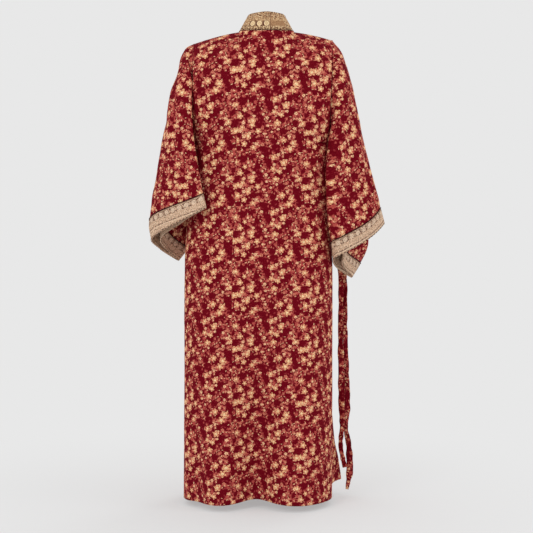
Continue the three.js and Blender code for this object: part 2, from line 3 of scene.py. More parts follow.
import bpy
import numpy as np
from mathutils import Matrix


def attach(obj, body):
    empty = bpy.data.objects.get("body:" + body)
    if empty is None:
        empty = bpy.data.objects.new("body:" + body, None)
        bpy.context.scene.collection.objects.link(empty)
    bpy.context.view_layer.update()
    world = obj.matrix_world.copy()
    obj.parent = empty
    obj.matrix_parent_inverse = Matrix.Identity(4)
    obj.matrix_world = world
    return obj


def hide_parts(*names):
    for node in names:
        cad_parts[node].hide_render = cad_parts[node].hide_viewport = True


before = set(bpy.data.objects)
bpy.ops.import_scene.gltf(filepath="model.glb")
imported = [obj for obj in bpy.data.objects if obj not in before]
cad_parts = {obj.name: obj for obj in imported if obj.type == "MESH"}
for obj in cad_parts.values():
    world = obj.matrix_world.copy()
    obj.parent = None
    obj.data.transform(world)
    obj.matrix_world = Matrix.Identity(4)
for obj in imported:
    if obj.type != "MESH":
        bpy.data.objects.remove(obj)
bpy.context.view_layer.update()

# Driving sizes in millimetres, as in the solids. +Z is up and the front faces -Y.
HEM = -1335.0
UNDERARM = -318.0
ARMHOLE_DEPTH = 72.0
NECK_HALF = 79.0
NECK_DEPTH = 70.0
NECK_RISE = 8.0
DROP_LEFT = 32.0
DROP_RIGHT = 27.0
COLLAR_WIDTH = 54.0
COLLAR_GAP = 0.6  # between the collar and its seam
NAPE_CROWN = (4.5, 0.42)  # how much wider the collar is at the nape, and over how many stations
CUFF_START = 0.92
CUFF_SLANT = 0.025
SLANT_START = 0.3  # where along the sleeve the slant towards the cuff begins
SIDE_POWER = 2.4  # how square the body's section is
NECK_POWER = 2.2  # how square the neckline is behind
SHOULDER_RUN = 125.0  # from the neck to the shoulder's tip
SHOULDER_CURVE = 1.15
TIP_LEVEL = -20.0  # the height whose width sets the shoulder tips
SHOULDER_ENDS = (-200, 220)
BACK_LIFT = (30, 60, 7, -1000)  # the back hem's lift: middle, width, height and where it starts
FRONT_LIFT_START = -1100
ARMHOLE_BLEND = 0.12  # the share of the sleeve over which it leaves the armhole's shape
ARMHOLE_ROWS = 12
SKIRT_ROWS = 10
LAST_ROW = ARMHOLE_ROWS + SKIRT_ROWS
SHOULDER_COLUMNS = 8
HALF_NECK = 4
HALF_BACK = HALF_NECK + SHOULDER_COLUMNS
CLOTH = 0.9  # the fine shells' wall
CUFF_WALL = 2.0
COLLAR_WALL = 2.2
LOOP_WALL = 1.2
REPEAT = (198.0, 155.0)  # the print's repeat, across and up

# z, middle, half width, depth behind and before the shoulder line
LEVELS = [
    (20, 9, 200, 104, 96),
    (-120, 12, 198, 112, 112),
    (-280, 15, 196, 117, 128),
    (-450, 18, 205, 112, 122),
    (-650, 22.5, 213.5, 120, 124),
    (-1000, 23.5, 214, 132, 140),
    (-1335, 25, 214.5, 146, 163),
]
# distance from the middle, how far down the cloth rounds over, and how sharply
ROUND_BACK = [(0, 190, 0.95), (60, 160, 0.8), (79, 130, 0.65), (140, 100, 0.5), (220, 95, 0.5)]
ROUND_FRONT = [(0, 165, 0.7), (79, 165, 0.7), (140, 110, 0.52), (220, 95, 0.5)]
# z, middle between the front edges, and the collar seam's distance from it
FRONT_EDGE = [(-1335, 18, 74), (-700, 12, 64), (-300, 5, 62), (-120, 2, 65), (-40, 0.5, 71), (8, 0, 79)]
# side, x, width, start height, depth at the hem
FOLDS = [
    (1, 30, 50, -520, -62),
    (1, -112, 55, -640, 20),
    (1, 140, 42, -700, 10),
    (1, 200, 26, -820, -30),
    (-1, 150, 30, -620, -28),
    (-1, 100, 45, -700, 5),
    (-1, -60, 40, -760, -26),
]
FLARE = {1: (-900, 26, 6), -1: (-880, 88, 26)}  # start height, distance out, rise at the hem
FLARE_MIDDLE, FLARE_WIDTH = 0.66, 0.27  # shares of the front's width

# Rails of the sleeves: s along the sleeve, then x, y, z
LEFT_RAILS = [
    [(0.1, 232, 24, -46), (0.2, 227, 66, -98), (0.3, 220, 89, -150), (0.55, 207, 101, -280),
     (0.8, 190, 104, -405), (1, 168, 114, -507)],
    [(0.1, 234, 8, -100), (0.2, 238, 42, -148), (0.3, 244, 66, -205), (0.55, 248, 84, -322),
     (0.8, 254, 90, -440), (1, 245, 96, -548)],
    [(0.1, 235, 2, -190), (0.2, 244, 14, -228), (0.3, 256, 26, -268), (0.55, 282, 34, -375),
     (0.8, 308, 34, -482), (0.92, 320, 32, -546), (1, 316, 28, -590)],
    [(0.1, 233, -6, -270), (0.3, 250, -14, -335), (0.55, 264, -24, -430), (0.8, 276, -36, -532),
     (0.92, 294, -34, -590), (1, 300, -30, -622)],
    [(0.1, 229, -12, -350), (0.3, 236, -36, -405), (0.55, 234, -64, -482), (0.8, 226, -84, -572),
     (0.92, 241, -84, -626), (1, 261, -76, -654)],
]
RIGHT_RAILS = [
    [(0.1, -220, 6, -62), (0.3, -249, 10, -172), (0.55, -279, 12, -306), (0.8, -311, 16, -434),
     (1, -340, 20, -546)],
    [(0.1, -210, 16, -124), (0.3, -226, 36, -228), (0.55, -243, 48, -352), (0.8, -263, 56, -480),
     (1, -286, 60, -592)],
    [(0.1, -203, 22, -200), (0.3, -206, 52, -295), (0.55, -194, 78, -405), (0.8, -192, 84, -528),
     (1, -211, 84, -640)],
    [(0.1, -206, 2, -276), (0.3, -222, 8, -358), (0.55, -238, 6, -462), (0.8, -234, 8, -570),
     (1, -209, 22, -670)],
    [(0.1, -208, -10, -350), (0.3, -240, -26, -412), (0.55, -276, -42, -500), (0.8, -299, -54, -598),
     (0.92, -277, -62, -662), (1, -252, -65, -704)],
]
# s, half the space between the layers, turn of the sleeve's axis in degrees
SLEEVE_FORM = [(0, 72, 0), (0.1, 58, 40), (0.3, 38, 68), (0.55, 28, 82), (0.8, 20, 88), (1, 14, 90)]
# station, then the direction from the collar's seam to its free edge
COLLAR_LEAN = [
    (0, 0, -0.26, 0.96),
    (0.6, -0.3, -0.26, 0.92),
    (1, -0.5, -0.24, 0.83),
    (3, -0.8, -0.28, 0.53),
    (6, -0.95, -0.2, 0.22),
    (10, -0.99, -0.08, 0.06),
    (14, -1, -0.03, 0),
    (24, -1, -0.02, 0),
]


def hermite(a, b, slope_a, slope_b, t):
    """A smooth step from a to b with the given slopes at its ends."""
    t2, t3 = t * t, t * t * t
    slopes = slope_a * (t3 - 2 * t2 + t) + slope_b * (t3 - t2)
    return a * (2 * t3 - 3 * t2 + 1) + b * (3 * t2 - 2 * t3) + slopes


def read(table, value):
    """A smooth curve through a table's rows, at values of its first column."""
    rows = np.array(sorted(table), float)
    value = np.clip(np.asarray(value, float), rows[0, 0], rows[-1, 0])
    i = np.clip(np.searchsorted(rows[:, 0], value, side="right") - 1, 0, len(rows) - 2)
    a, b = rows[i], rows[i + 1]
    before, after = rows[np.maximum(i - 1, 0)], rows[np.minimum(i + 2, len(rows) - 1)]
    span = b[..., :1] - a[..., :1]
    t = (value[..., None] - a[..., :1]) / span
    slope_a = (b - before) / (b - before)[..., :1] * span
    slope_b = (after - a) / (after - a)[..., :1] * span
    return np.moveaxis(hermite(a, b, slope_a, slope_b, t)[..., 1:], -1, 0)


def ramp(value):
    t = np.clip(value, 0, 1)
    return t * t * (3 - 2 * t)


def mix(a, b, t):
    return a + (b - a) * t


def bell(value):
    return np.exp(-(value**2))


def unit(v):
    return v / np.maximum(np.linalg.norm(v, axis=-1, keepdims=True), 1e-9)


def paired(a, b):
    """Two numbers or arrays as arrays of one shape."""
    return np.broadcast_arrays(np.asarray(a, float), np.asarray(b, float))


# ---- The body ----


def bulge_at(x, z):
    centre, half = read(LEVELS, z)[:2]
    c = np.clip(np.abs(x - centre) / half, 0, 1)
    return (1 - c**SIDE_POWER) ** (1 / SIDE_POWER)


def fold_depth(side, x, z):
    depth = 0.0
    for of_side, at, width, start, deep in FOLDS:
        if of_side == side:
            depth = depth + deep * bell((x - at) / width) * ramp((start - z) / (start - HEM))
    return depth


def top_point(side, x):
    u = np.minimum(np.abs(x) / NECK_HALF, 1)
    along = np.maximum(np.abs(x) - NECK_HALF, 0) / SHOULDER_RUN
    z = NECK_RISE - np.where(x > 0, DROP_LEFT, DROP_RIGHT) * along**SHOULDER_CURVE
    y = np.zeros_like(u)
    if side > 0:
        y = NECK_DEPTH * (1 - u**NECK_POWER) ** (1 / NECK_POWER)
        z = np.where(u < 1, NECK_RISE * u**3, z)
    return y, z


def side_x(hand, z):
    centre, half = read(LEVELS, z)[:2]
    return centre + hand * half


TIP_X = {h: float(side_x(h, TIP_LEVEL)) for h in (1, -1)}
TIP_Z = {h: float(top_point(1, np.array(TIP_X[h]))[1]) for h in (1, -1)}


def armhole_at(z, tip, bulge):
    t = np.clip((tip - z) / (tip - UNDERARM), 0, 1)
    power = mix(0.5, 1.2, np.minimum(1.2 * bulge, 1))
    return ARMHOLE_DEPTH * np.maximum(1 - (2 * t - 1) ** 2, 0) ** power


def row_height(top, row):
    upper = mix(top, UNDERARM, (1 - np.cos(math.pi * np.minimum(row, ARMHOLE_ROWS) / ARMHOLE_ROWS)) / 2)
    return np.where(row <= ARMHOLE_ROWS, upper, mix(UNDERARM, HEM, (row - ARMHOLE_ROWS) / SKIRT_ROWS))


def body_depth(side, x, z, top_x, top_y, top_z, tip):
    bulge = bulge_at(x, z)
    back, front = read(LEVELS, z)[2:]
    full = (back if side > 0 else front) + fold_depth(side, x, z)
    reach, power = read(ROUND_BACK if side > 0 else ROUND_FRONT, np.abs(top_x))
    fall = np.clip((top_z - z) / reach, 0, 1)
    eased = (1 - (1 - fall) ** 2) ** power
    start = np.where(bulge > 1e-6, top_y / np.maximum(bulge, 1e-6), 0)
    return armhole_at(z, tip, bulge) * (1 - bulge) + mix(start, full, eased) * bulge


def back_point(column, row):
    column, row = paired(column, row)
    hand = np.where(column < 0, -1.0, 1.0)
    n = np.abs(column)
    tip_x = np.where(hand > 0, TIP_X[1], TIP_X[-1])
    tip_z = np.where(hand > 0, TIP_Z[1], TIP_Z[-1])
    neck = hand * NECK_HALF * np.sin(math.pi / 2 * np.minimum(n / HALF_NECK, 1))
    share = np.sin(math.pi / 2 * np.clip((n - HALF_NECK) / SHOULDER_COLUMNS, 0, 1))
    x = np.where(n <= HALF_NECK, neck, mix(hand * NECK_HALF, tip_x, share))
    top_x = np.clip(x, *SHOULDER_ENDS)
    top_y, top_z = top_point(1, top_x)
    z = row_height(top_z, row)
    centre0, half0 = read(LEVELS, TIP_LEVEL)[:2]
    centre, half = read(LEVELS, z)[:2]
    here = np.where(row <= 0, x, centre + half * (x - centre0) / half0)
    y = body_depth(1, here, z, top_x, top_y, top_z, tip_z)
    at, width, height, start = BACK_LIFT
    rise = height * bell((here - at) / width) * ramp((start - z) / (start - HEM))
    return np.stack([here, y, z + rise], -1)


def front_point(hand, column, row):
    column, row = paired(column, row)
    share = np.sin(math.pi / 2 * column / SHOULDER_COLUMNS)
    top_x = mix(hand * NECK_HALF, TIP_X[hand], share)
    top_y, top_z = top_point(-1, top_x)
    z = row_height(top_z, row)
    middle, half = read(FRONT_EDGE, z)
    inner = np.where(row <= 0, hand * NECK_HALF, middle + hand * half)
    x = mix(inner, np.where(row <= 0, TIP_X[hand], side_x(hand, z)), share)
    depth = body_depth(-1, x, z, top_x, top_y, top_z, TIP_Z[hand])
    start, out, rise = FLARE[hand]
    across = bell((share - FLARE_MIDDLE) / FLARE_WIDTH) * (1 - share**6)
    swing = across * np.clip((start - z) / (start - HEM), 0, 1) ** 0.75
    lift = rise * (1 - share**14) * ramp((share - 0.2) / 0.4)
    lift = lift * ramp((FRONT_LIFT_START - z) / (FRONT_LIFT_START - HEM))
    return np.stack([x + hand * out * swing, -depth - 10 * swing, z + lift], -1)


# ---- The collar ----


def collar_seam(hand, station):
    """Station 0 is the nape, 1 the shoulder line, and each later one a row of the front."""
    station = np.asarray(station, float)
    nape = back_point(hand * HALF_NECK * np.clip(station, 0, 1), np.zeros_like(station))
    return np.where((station <= 1)[..., None], nape, front_point(hand, 0, np.maximum(station - 1, 0)))


def collar_point(hand, station, across):
    """A point across the collar: 0 is its seam and 1 its free edge."""
    station, across = paired(station, across)
    lean = np.stack(read(COLLAR_LEAN, station), -1) * np.array([hand, 1, 1])
    row = np.clip(station - 1, 0, LAST_ROW)
    carried = unit(front_point(hand, 0, row) - front_point(hand, 1, row))
    share = 0.45 * ramp((station - 4) / 8)
    direction = unit(mix(unit(lean), carried, share[..., None]))
    wider, stations = NAPE_CROWN
    width = COLLAR_WIDTH + wider * bell(station / stations)
    return collar_seam(hand, station) + direction * (COLLAR_GAP + width * across)[..., None]


# ---- The sleeves and cuffs ----


def rail_points(hand, s):
    start = float(side_x(hand, np.array(UNDERARM)))
    points = []
    for index, rail in enumerate(LEFT_RAILS if hand > 0 else RIGHT_RAILS):
        first = (0, mix(TIP_X[hand], start, index / 4), 0, mix(TIP_Z[hand], UNDERARM, index / 4))
        points.append(np.stack(read([first] + rail, s), -1))
    return points


def middle(hand, s, q):
    """The middle line across the flat sleeve, from its top fold (q 0) to its underarm seam (q 1)."""
    s, q = paired(s, np.clip(q, 0, 1))
    stack = np.stack(rail_points(hand, s))
    i = np.clip((q * 4).astype(int), 0, 3)
    t = (q * 4 - i)[..., None]

    def pick(n):
        return np.take_along_axis(stack, np.clip(n, 0, 4)[None, ..., None].repeat(3, -1), 0)[0]

    a, b, before, after = pick(i), pick(i + 1), pick(i - 1), pick(i + 2)
    span_a = (np.minimum(i + 1, 4) - np.maximum(i - 1, 0))[..., None]
    span_b = (np.minimum(i + 2, 4) - i)[..., None]
    return hermite(a, b, (b - before) / span_a, (after - a) / span_b, t)


def sleeve_point(hand, s, angle):
    s, angle = paired(s, angle)
    gap, turn = read(SLEEVE_FORM, s)
    q = (1 - np.cos(angle)) / 2
    across = unit(middle(hand, s, np.minimum(q + 0.02, 1)) - middle(hand, s, np.maximum(q - 0.02, 0)))
    turn = np.radians(turn)
    axis = np.stack([hand * np.cos(turn), np.zeros_like(turn), -np.sin(turn)], -1)
    normal = unit(np.cross(axis, across) * hand)
    return middle(hand, s, q) + normal * (gap * np.sin(angle))[..., None]


def armhole_point(hand, angle):
    turns = np.mod(angle, 2 * math.pi) / math.pi * ARMHOLE_ROWS
    back = back_point(hand * HALF_BACK, np.minimum(turns, ARMHOLE_ROWS))
    front = front_point(hand, SHOULDER_COLUMNS, np.clip(2 * ARMHOLE_ROWS - turns, 0, ARMHOLE_ROWS))
    return np.where((turns <= ARMHOLE_ROWS)[..., None], back, front)


def slanted(hand, s, angle):
    """The left cuff's seam lies further up the sleeve at its wrapped edge than at its top fold."""
    if hand < 0:
        return s + 0 * angle
    before = ramp((s - SLANT_START) / (CUFF_START - SLANT_START))
    near = np.where(s < CUFF_START, before, (1 - s) / (1 - CUFF_START))
    return s - CUFF_SLANT * near * ramp(1 - np.cos(angle))


def sleeve_surface(hand, s, angle):
    fade = ramp(1 - np.asarray(s, float) / ARMHOLE_BLEND)
    start = armhole_point(hand, angle) - sleeve_point(hand, 0, angle)
    return sleeve_point(hand, slanted(hand, s, angle), angle) + start * fade[..., None]


# ---- Soft creases, in millimetres of the cloth ----


def creases(u, v, rows):
    """Each row is one soft trough (negative) or ridge between two points, with a width and a depth."""
    depth = np.zeros_like(u)
    for u0, v0, u1, v1, width, deep in rows:
        du, dv = u1 - u0, v1 - v0
        length = math.hypot(du, dv)
        along = ((u - u0) * du + (v - v0) * dv) / length**2
        bow = 0.06 * length * np.sin(math.pi * np.clip(along, 0, 1))
        off = ((u - u0) * -dv + (v - v0) * du) / length + bow
        ends = ramp(along / 0.3 + 0.15) * ramp((1 - along) / 0.3 + 0.15)
        depth += deep * bell(off / width) * ends
    return depth


def ripple(u, v, size, seed):
    """A smooth uneven surface of about one unit, for cloth that never lies quite flat."""
    rng = np.random.default_rng(seed)
    total = np.zeros(np.broadcast(u, v).shape)
    for _ in range(14):
        angle = rng.uniform(-0.5, 0.5) + (math.pi / 2 if rng.random() < 0.25 else 0)
        wave = 2 * math.pi / (size * rng.uniform(0.7, 1.9))
        total += np.sin((u * math.cos(angle) + v * math.sin(angle)) * wave + rng.uniform(0, 6.28))
    return total / 3.7


# ---- Meshes ----

FLAT_ROWS = 24  # the coarse grid that is laid flat
FLAT_COLUMNS = 27


def outward(points, facing, wrapped=False):
    """Normals of a grid, on the side that looks along facing."""
    if wrapped:
        across = np.roll(points, -1, 1) - np.roll(points, 1, 1)
    else:
        across = np.gradient(points, axis=1)
    normals = unit(np.cross(across, np.gradient(points, axis=0)))
    return normals if np.sum(normals * facing) > 0 else -normals


def lengths(points, wrapped=False):
    """Running lengths across each row and down each column, in millimetres."""
    if wrapped:
        points = np.concatenate([points, points[:, :1]], 1)
    across = np.linalg.norm(np.diff(points, axis=1), axis=-1)
    down = np.linalg.norm(np.diff(points, axis=0), axis=-1)
    u = np.concatenate([np.zeros((len(points), 1)), np.cumsum(across, 1)], 1)
    v = np.concatenate([np.zeros((1, points.shape[1])), np.cumsum(down, 0)], 0)
    return u, v


def laid_flat(points, start, wrapped=False):
    """Flat coordinates that keep the print's shapes true. The grain runs down the start column."""
    if wrapped:
        points = np.concatenate([points, points[:, :1]], 1)
    total_rows, total_columns = points.shape[:2]
    rows = np.unique(np.linspace(0, total_rows - 1, FLAT_ROWS).astype(int))
    columns = np.unique(np.append(np.linspace(0, total_columns - 1, FLAT_COLUMNS).astype(int), start))
    coarse = points[rows][:, columns]
    index = np.arange(len(rows) * len(columns)).reshape(len(rows), len(columns))
    corners = [index[:-1, :-1], index[:-1, 1:], index[1:, 1:], index[1:, :-1]]
    picks = (0, 1, 2), (0, 2, 3), (0, 1, 3), (1, 2, 3)
    faces = np.concatenate([np.stack([corners[i].ravel() for i in pick], 1) for pick in picks])
    flat_points = coarse.reshape(-1, 3)
    first, second = [flat_points[faces[:, k]] - flat_points[faces[:, 0]] for k in (1, 2)]
    base = np.linalg.norm(first, axis=1)
    along = np.einsum("ij,ij->i", first, second) / base
    height = np.linalg.norm(np.cross(first, second), axis=1) / base
    weight = 1 / np.sqrt(base * height)
    tip = along + 1j * height
    matrix = np.zeros((len(faces), len(flat_points)), complex)
    each = np.arange(len(faces))
    matrix[each, faces[:, 0]] = (tip - base) * weight
    matrix[each, faces[:, 1]] = -tip * weight
    matrix[each, faces[:, 2]] = base * weight
    middle_column = int(np.searchsorted(columns, start))
    fall = np.linalg.norm(np.diff(points[:, start], axis=0), axis=-1).sum()
    pins = [index[0, middle_column], index[-1, middle_column]]
    values = np.array([0, -1j * fall])
    free = np.setdiff1d(np.arange(len(flat_points)), pins)
    target = -(matrix[:, pins] @ values)
    open_part = matrix[:, free]
    solved = np.linalg.solve(open_part.conj().T @ open_part, open_part.conj().T @ target)
    result = np.zeros(len(flat_points), complex)
    result[pins] = values
    result[free] = solved
    result = result.reshape(len(rows), len(columns))

    def spread(part):
        wide = np.stack([np.interp(np.arange(total_columns), columns, line) for line in part])
        return np.stack([np.interp(np.arange(total_rows), rows, line) for line in wide.T], 1)

    return spread(result.real), spread(result.imag)


def shell(name, outer, normals, thick, u, v, wrapped=False):
    """A closed wall of cloth. thick may vary over the grid; u and v become a UV map in metres."""
    rows, columns = outer.shape[:2]
    inner = outer - normals * np.broadcast_to(thick, (rows, columns))[..., None]
    points = np.concatenate([outer.reshape(-1, 3), inner.reshape(-1, 3)]) * 0.001
    spans = columns if wrapped else columns - 1
    r, c = np.indices((rows - 1, spans)).reshape(2, -1)
    corners = [(r, c), (r, c + 1), (r + 1, c + 1), (r + 1, c)]
    layer = rows * columns
    at = lambda a, b: a * columns + b % columns
    flat = lambda a, b: np.stack([u[a, b], v[a, b]], -1)
    face = np.stack([at(a, b) for a, b in corners], 1)
    face_uv = np.stack([flat(a, b) for a, b in corners], 1)
    faces, uvs = [face, face[:, ::-1] + layer], [face_uv, face_uv[:, ::-1]]
    k = np.arange(spans)
    edges = [((0 * k, k + 1), (0 * k, k)), ((0 * k + rows - 1, k), (0 * k + rows - 1, k + 1))]
    if not wrapped:
        k = np.arange(rows - 1)
        last = 0 * k + columns - 1
        edges += [((k, 0 * k), (k + 1, 0 * k)), ((k + 1, last), (k, last))]
    for first, second in edges:
        a, b = at(*first), at(*second)
        faces.append(np.stack([a, b, b + layer, a + layer], 1))
        p, q = flat(*first), flat(*second)
        uvs.append(np.stack([p, q, q, p], 1))
    return mesh_object(name, points, np.concatenate(faces), np.concatenate(uvs))


def linked(name, data):
    obj = bpy.data.objects.new(name, data)
    bpy.context.scene.collection.objects.link(obj)
    return obj


def smooth_mesh(name, points, faces):
    mesh = bpy.data.meshes.new(name)
    mesh.from_pydata(points, [], faces)
    mesh.shade_smooth()
    return mesh


def mesh_object(name, points, faces, uvs):
    """A smooth mesh of quads, turned to face outwards."""
    a, b, c, d = (points[faces[:, k]] for k in range(4))
    middles = points[faces].mean(1) - points.mean(0)
    if np.sum(middles * (np.cross(b - a, c - a) + np.cross(c - a, d - a))) < 0:
        faces, uvs = faces[:, ::-1], uvs[:, ::-1]
    mesh = smooth_mesh(name, points.tolist(), faces.tolist())
    layer = mesh.uv_layers.new(name="cloth")
    layer.data.foreach_set("uv", (uvs.reshape(-1, 2) * 0.001).ravel())
    mesh.validate()
    return linked(name, mesh)


# ---- The pieces ----

FINE = 5  # fine columns and armhole rows to each of the solids'
SKIRT_FINE = 14
UNDERARM_AT = ARMHOLE_ROWS * FINE  # the underarm's row in a body panel
HALF_RING = UNDERARM_AT  # steps round half a sleeve


def fine_rows(upper, lower):
    """Rows of the body, so many to each of the solids' above and below the underarm."""
    above = np.arange(ARMHOLE_ROWS * upper) / upper
    return np.concatenate([above, ARMHOLE_ROWS + np.arange(SKIRT_ROWS * lower + 1) / lower])


BODY_ROWS = fine_rows(FINE, SKIRT_FINE)[:, None]
COLLAR_FINE = 6
NAPE_STATIONS = np.arange(COLLAR_FINE * HALF_NECK) / (COLLAR_FINE * HALF_NECK)
COLLAR_STATIONS = np.concatenate([NAPE_STATIONS, 1 + fine_rows(COLLAR_FINE, 2 * COLLAR_FINE)])[:, None]
SLEEVE_LEVELS = np.concatenate([np.linspace(0.0006, 0.2, 40), np.linspace(0.2, 0.9195, 96)[1:]])
CUFF_LEVELS = np.linspace(0.9225, 1, 22)
SEAM_LEVEL = 0.9212  # the middle of the gap between sleeve and cuff

# Soft creases in each piece: from (u, v) to (u, v), width, depth. u runs across and v down.
BACK_CREASES = [
    (-118, -60, -150, 330, 20, -3.5), (-70, 240, -96, 980, 22, -5.5), (-20, 330, 4, 1010, 26, 5.0),
    (84, 190, 108, 1000, 24, -6.0), (150, -20, 128, 460, 18, -4.0), (-165, 120, -178, 760, 16, 3.5),
    (40, -170, 120, 60, 22, 2.5), (-44, -180, -120, 40, 22, 2.5), (176, 420, 168, 1010, 15, 4.0),
    (-140, 620, -124, 1010, 20, -4.5), (46, 560, 60, 1010, 18, -4.0),
    (-196, -180, -110, -70, 16, -2.5), (205, -190, 130, -90, 16, -2.5),
]
FRONT_CREASES = [
    (40, -230, 96, 60, 20, -4.0), (112, -60, 120, 520, 20, -4.5), (60, 120, 66, 900, 22, 4.5),
    (30, 420, 24, 1000, 16, -3.5), (140, 380, 150, 1010, 18, 4.0), (96, 640, 104, 1010, 16, -4.5),
    (165, -170, 110, -40, 16, -3.0),
]
SLEEVE_CREASES = [
    (-190, 30, -120, 300, 16, -4.0), (-120, 20, -70, 250, 16, 3.0), (-60, 60, -96, 420, 15, -3.5),
    (-150, 230, -110, 500, 18, -3.5), (-40, 260, -70, 520, 14, 3.0), (-200, 300, -180, 520, 14, 3.0),
    (60, 40, 110, 330, 16, -4.0), (130, 60, 90, 400, 16, 3.2), (170, 200, 200, 500, 18, -3.6),
    (70, 300, 60, 520, 14, -3.0), (230, 120, 240, 420, 15, 3.0),
]


def settle(points, normals, u, v, rows, seed, edges):
    """Creases and unevenness, dying away at the pieces' own edges so that the seams still meet."""
    uneven = 0.9 * ripple(u, v, 130, seed) + 0.35 * ripple(v * 0.8, u, 42, seed + 1)
    return points + normals * ((creases(u, v, rows) + uneven) * edges)[..., None]


def edge_fade(count, first, last):
    """1 in the middle, rising from 0 over the first steps and falling to 0 over the last."""
    k = np.arange(count)
    fade = np.ones(count)
    if first:
        fade *= ramp(k / first)
    if last:
        fade *= ramp(k[::-1] / last)
    return fade


def near_ends(count, first, last):
    """Two curves that are 1 at the first and at the last, and fall away over so many steps."""
    k = np.arange(count)
    return bell(k / first), bell(k[::-1] / last)


def hem_thickness(rows, columns):
    """The turned-up hem makes the wall's last rows two layers thick."""
    last = np.clip((np.arange(rows)[::-1] - 2.2) / 0.8, 0, 1)
    return np.broadcast_to((CLOTH * (2 - ramp(last)))[:, None], (rows, columns))


def seam_pull(points):
    """Each edge of a panel stands a hair short of its neighbour."""
    step = 0.25
    result = points.copy()
    result[:, 0] += unit(points[:, 1] - points[:, 0]) * step
    result[:, -1] += unit(points[:, -2] - points[:, -1]) * step
    result[0] += unit(points[1] - points[0]) * step
    return result


def dip(rows, columns):
    """A soft valley beside each sewn edge."""
    reach, depth = 1.6, 0.6
    across = np.maximum(*near_ends(columns, reach, reach))
    return depth * np.maximum(across[None, :], bell(np.arange(rows) / reach)[:, None])


def panel(name, points, facing, grain, rows, seed, side_fade, offset):
    """A body panel: facing is 1 behind and -1 before, and grain is the column the thread runs down."""
    size = points.shape[:2]
    normals = outward(points, np.array([0, facing, 0]))
    u, v = lengths(points)
    fade = edge_fade(size[0], 7, 0)[:, None] * edge_fade(size[1], side_fade, side_fade)
    points = settle(points, normals, u - u[:, grain][:, None], v - v[UNDERARM_AT], rows, seed, fade)
    points = seam_pull(points - normals * dip(*size)[..., None])
    flat_u, flat_v = laid_flat(points, grain)
    return shell(name, points, normals, hem_thickness(*size), flat_u + offset[0], flat_v + offset[1])


def body_columns(first, last):
    return np.arange(first * FINE, last * FINE + 1)[None, :] / FINE


def front_panel(hand, name, rows, seed):
    points = front_point(hand, body_columns(0, SHOULDER_COLUMNS), BODY_ROWS)
    return panel(name, points, -1, 0, rows, seed, 6, (300 + 150 * hand, 60))


def ring(hand, levels):
    """Rings round a sleeve, from the underarm seam forwards, over the top fold and down the back."""
    angle = math.pi + np.arange(2 * HALF_RING) / HALF_RING * math.pi
    points = sleeve_surface(hand, levels[:, None], angle[None, :])
    return points, outward(points, points - points.mean(1, keepdims=True), True)


def ring_lengths(points):
    u, v = lengths(points, True)
    return u - u[:, HALF_RING][:, None], v


def sleeve_piece(hand, name, seed):
    points, normals = ring(hand, SLEEVE_LEVELS)
    u, v = ring_lengths(points)
    rows = [(hand * a, b, hand * c, d, width, deep) for a, b, c, d, width, deep in SLEEVE_CREASES]
    fade = edge_fade(len(points), 12, 8)[:, None]
    points = settle(points, normals, u[:, :-1], v[:, :-1], rows, seed, fade)
    points = points - normals * (0.5 * np.maximum(*near_ends(len(points), 1.0, 1.3)))[:, None, None]
    flat_u, flat_v = laid_flat(points, HALF_RING, True)
    return shell(name, points, normals, CLOTH, flat_u + 70 * hand, flat_v + 20 * hand, True)


def cuff_piece(hand, name):
    points, normals = ring(hand, CUFF_LEVELS)
    u, v = ring_lengths(points)
    first, last = near_ends(len(points), 1.2, 0.9)
    lift = 0.4 + 0.25 * ripple(u[:, :-1], v[:, :-1], 60, 9) - (0.9 * first + 0.7 * last)[:, None]
    return shell(name, points + normals * lift[..., None], normals, CUFF_WALL, u, v, True)


def collar_piece(hand, name, seed):
    across = np.linspace(0, 1, 13)
    points = collar_point(hand, COLLAR_STATIONS, across[None, :])
    normals = outward(points, np.array([0, -1, 0]))
    u, v = lengths(points)
    run = v[:, :1].repeat(len(across), 1)
    belly = 1.1 * np.sin(math.pi * across) + 0.35 * ripple(run, u, 90, seed)
    ends = mix(0.5, 1, ramp(np.arange(len(points)) / 6))[:, None]
    first, last = near_ends(len(across), 0.8, 0.7)
    points = points + normals * (belly * ends - first - 0.8 * last)[..., None]
    points[0, :, 0] = 0.0
    return shell(name, points, normals, COLLAR_WALL, run * hand, u)


# x, y, z, turn of its width, half its folded width, and how far its two halves stand apart
BELT_PATH = [
    (-234, -84, -1268, 75, 7, 6), (-226, -85, -1240, 110, 6.5, 6), (-220, -84, -1195, 70, 6.5, 5),
    (-225, -84, -1145, 95, 7, 6), (-223, -84, -1080, 75, 9, 7), (-222, -84, -985, 105, 9, 6),
    (-220, -84, -870, 70, 7.5, 5), (-221, -84, -745, 95, 7, 6), (-217, -76, -660, 80, 6.5, 5),
    (-205, -54, -560, 40, 6.5, 4), (-197.5, -32, -490, 5, 6, 3), (-193, -24, -462, 0, 6, 2.8),
    (-191.8, -12, -448, 0, 6, 2.8), (-191.8, 4, -444, 0, 6, 2.8), (-193, 12, -456, 0, 5, 2.8),
    (-198.5, 6, -482, 10, 5, 2.8), (-207, -14, -540, 30, 5.5, 3), (-221, -44, -610, 60, 6, 4),
    (-233, -90, -700, 90, 6.5, 5), (-234, -95, -800, 115, 7, 4.5), (-235, -95, -890, 75, 7, 5),
    (-238, -95, -1000, 100, 9, 6), (-240, -95, -1090, 70, 9, 6), (-236, -95, -1150, 95, 7, 6),
    (-245, -94, -1205, 110, 8, 6), (-248, -92, -1275, 80, 10, 6), (-240, -92, -1335, 90, 4, 4),
]
# The folded belt's section from one open edge round the fold to the other: across and through
BELT_SECTION = [
    (1, 0.5), (0.5, 0.52), (0, 0.46), (-0.6, 0.36), (-1, 0), (-0.6, -0.36), (0, -0.46), (0.5, -0.52),
    (1, -0.5),
]


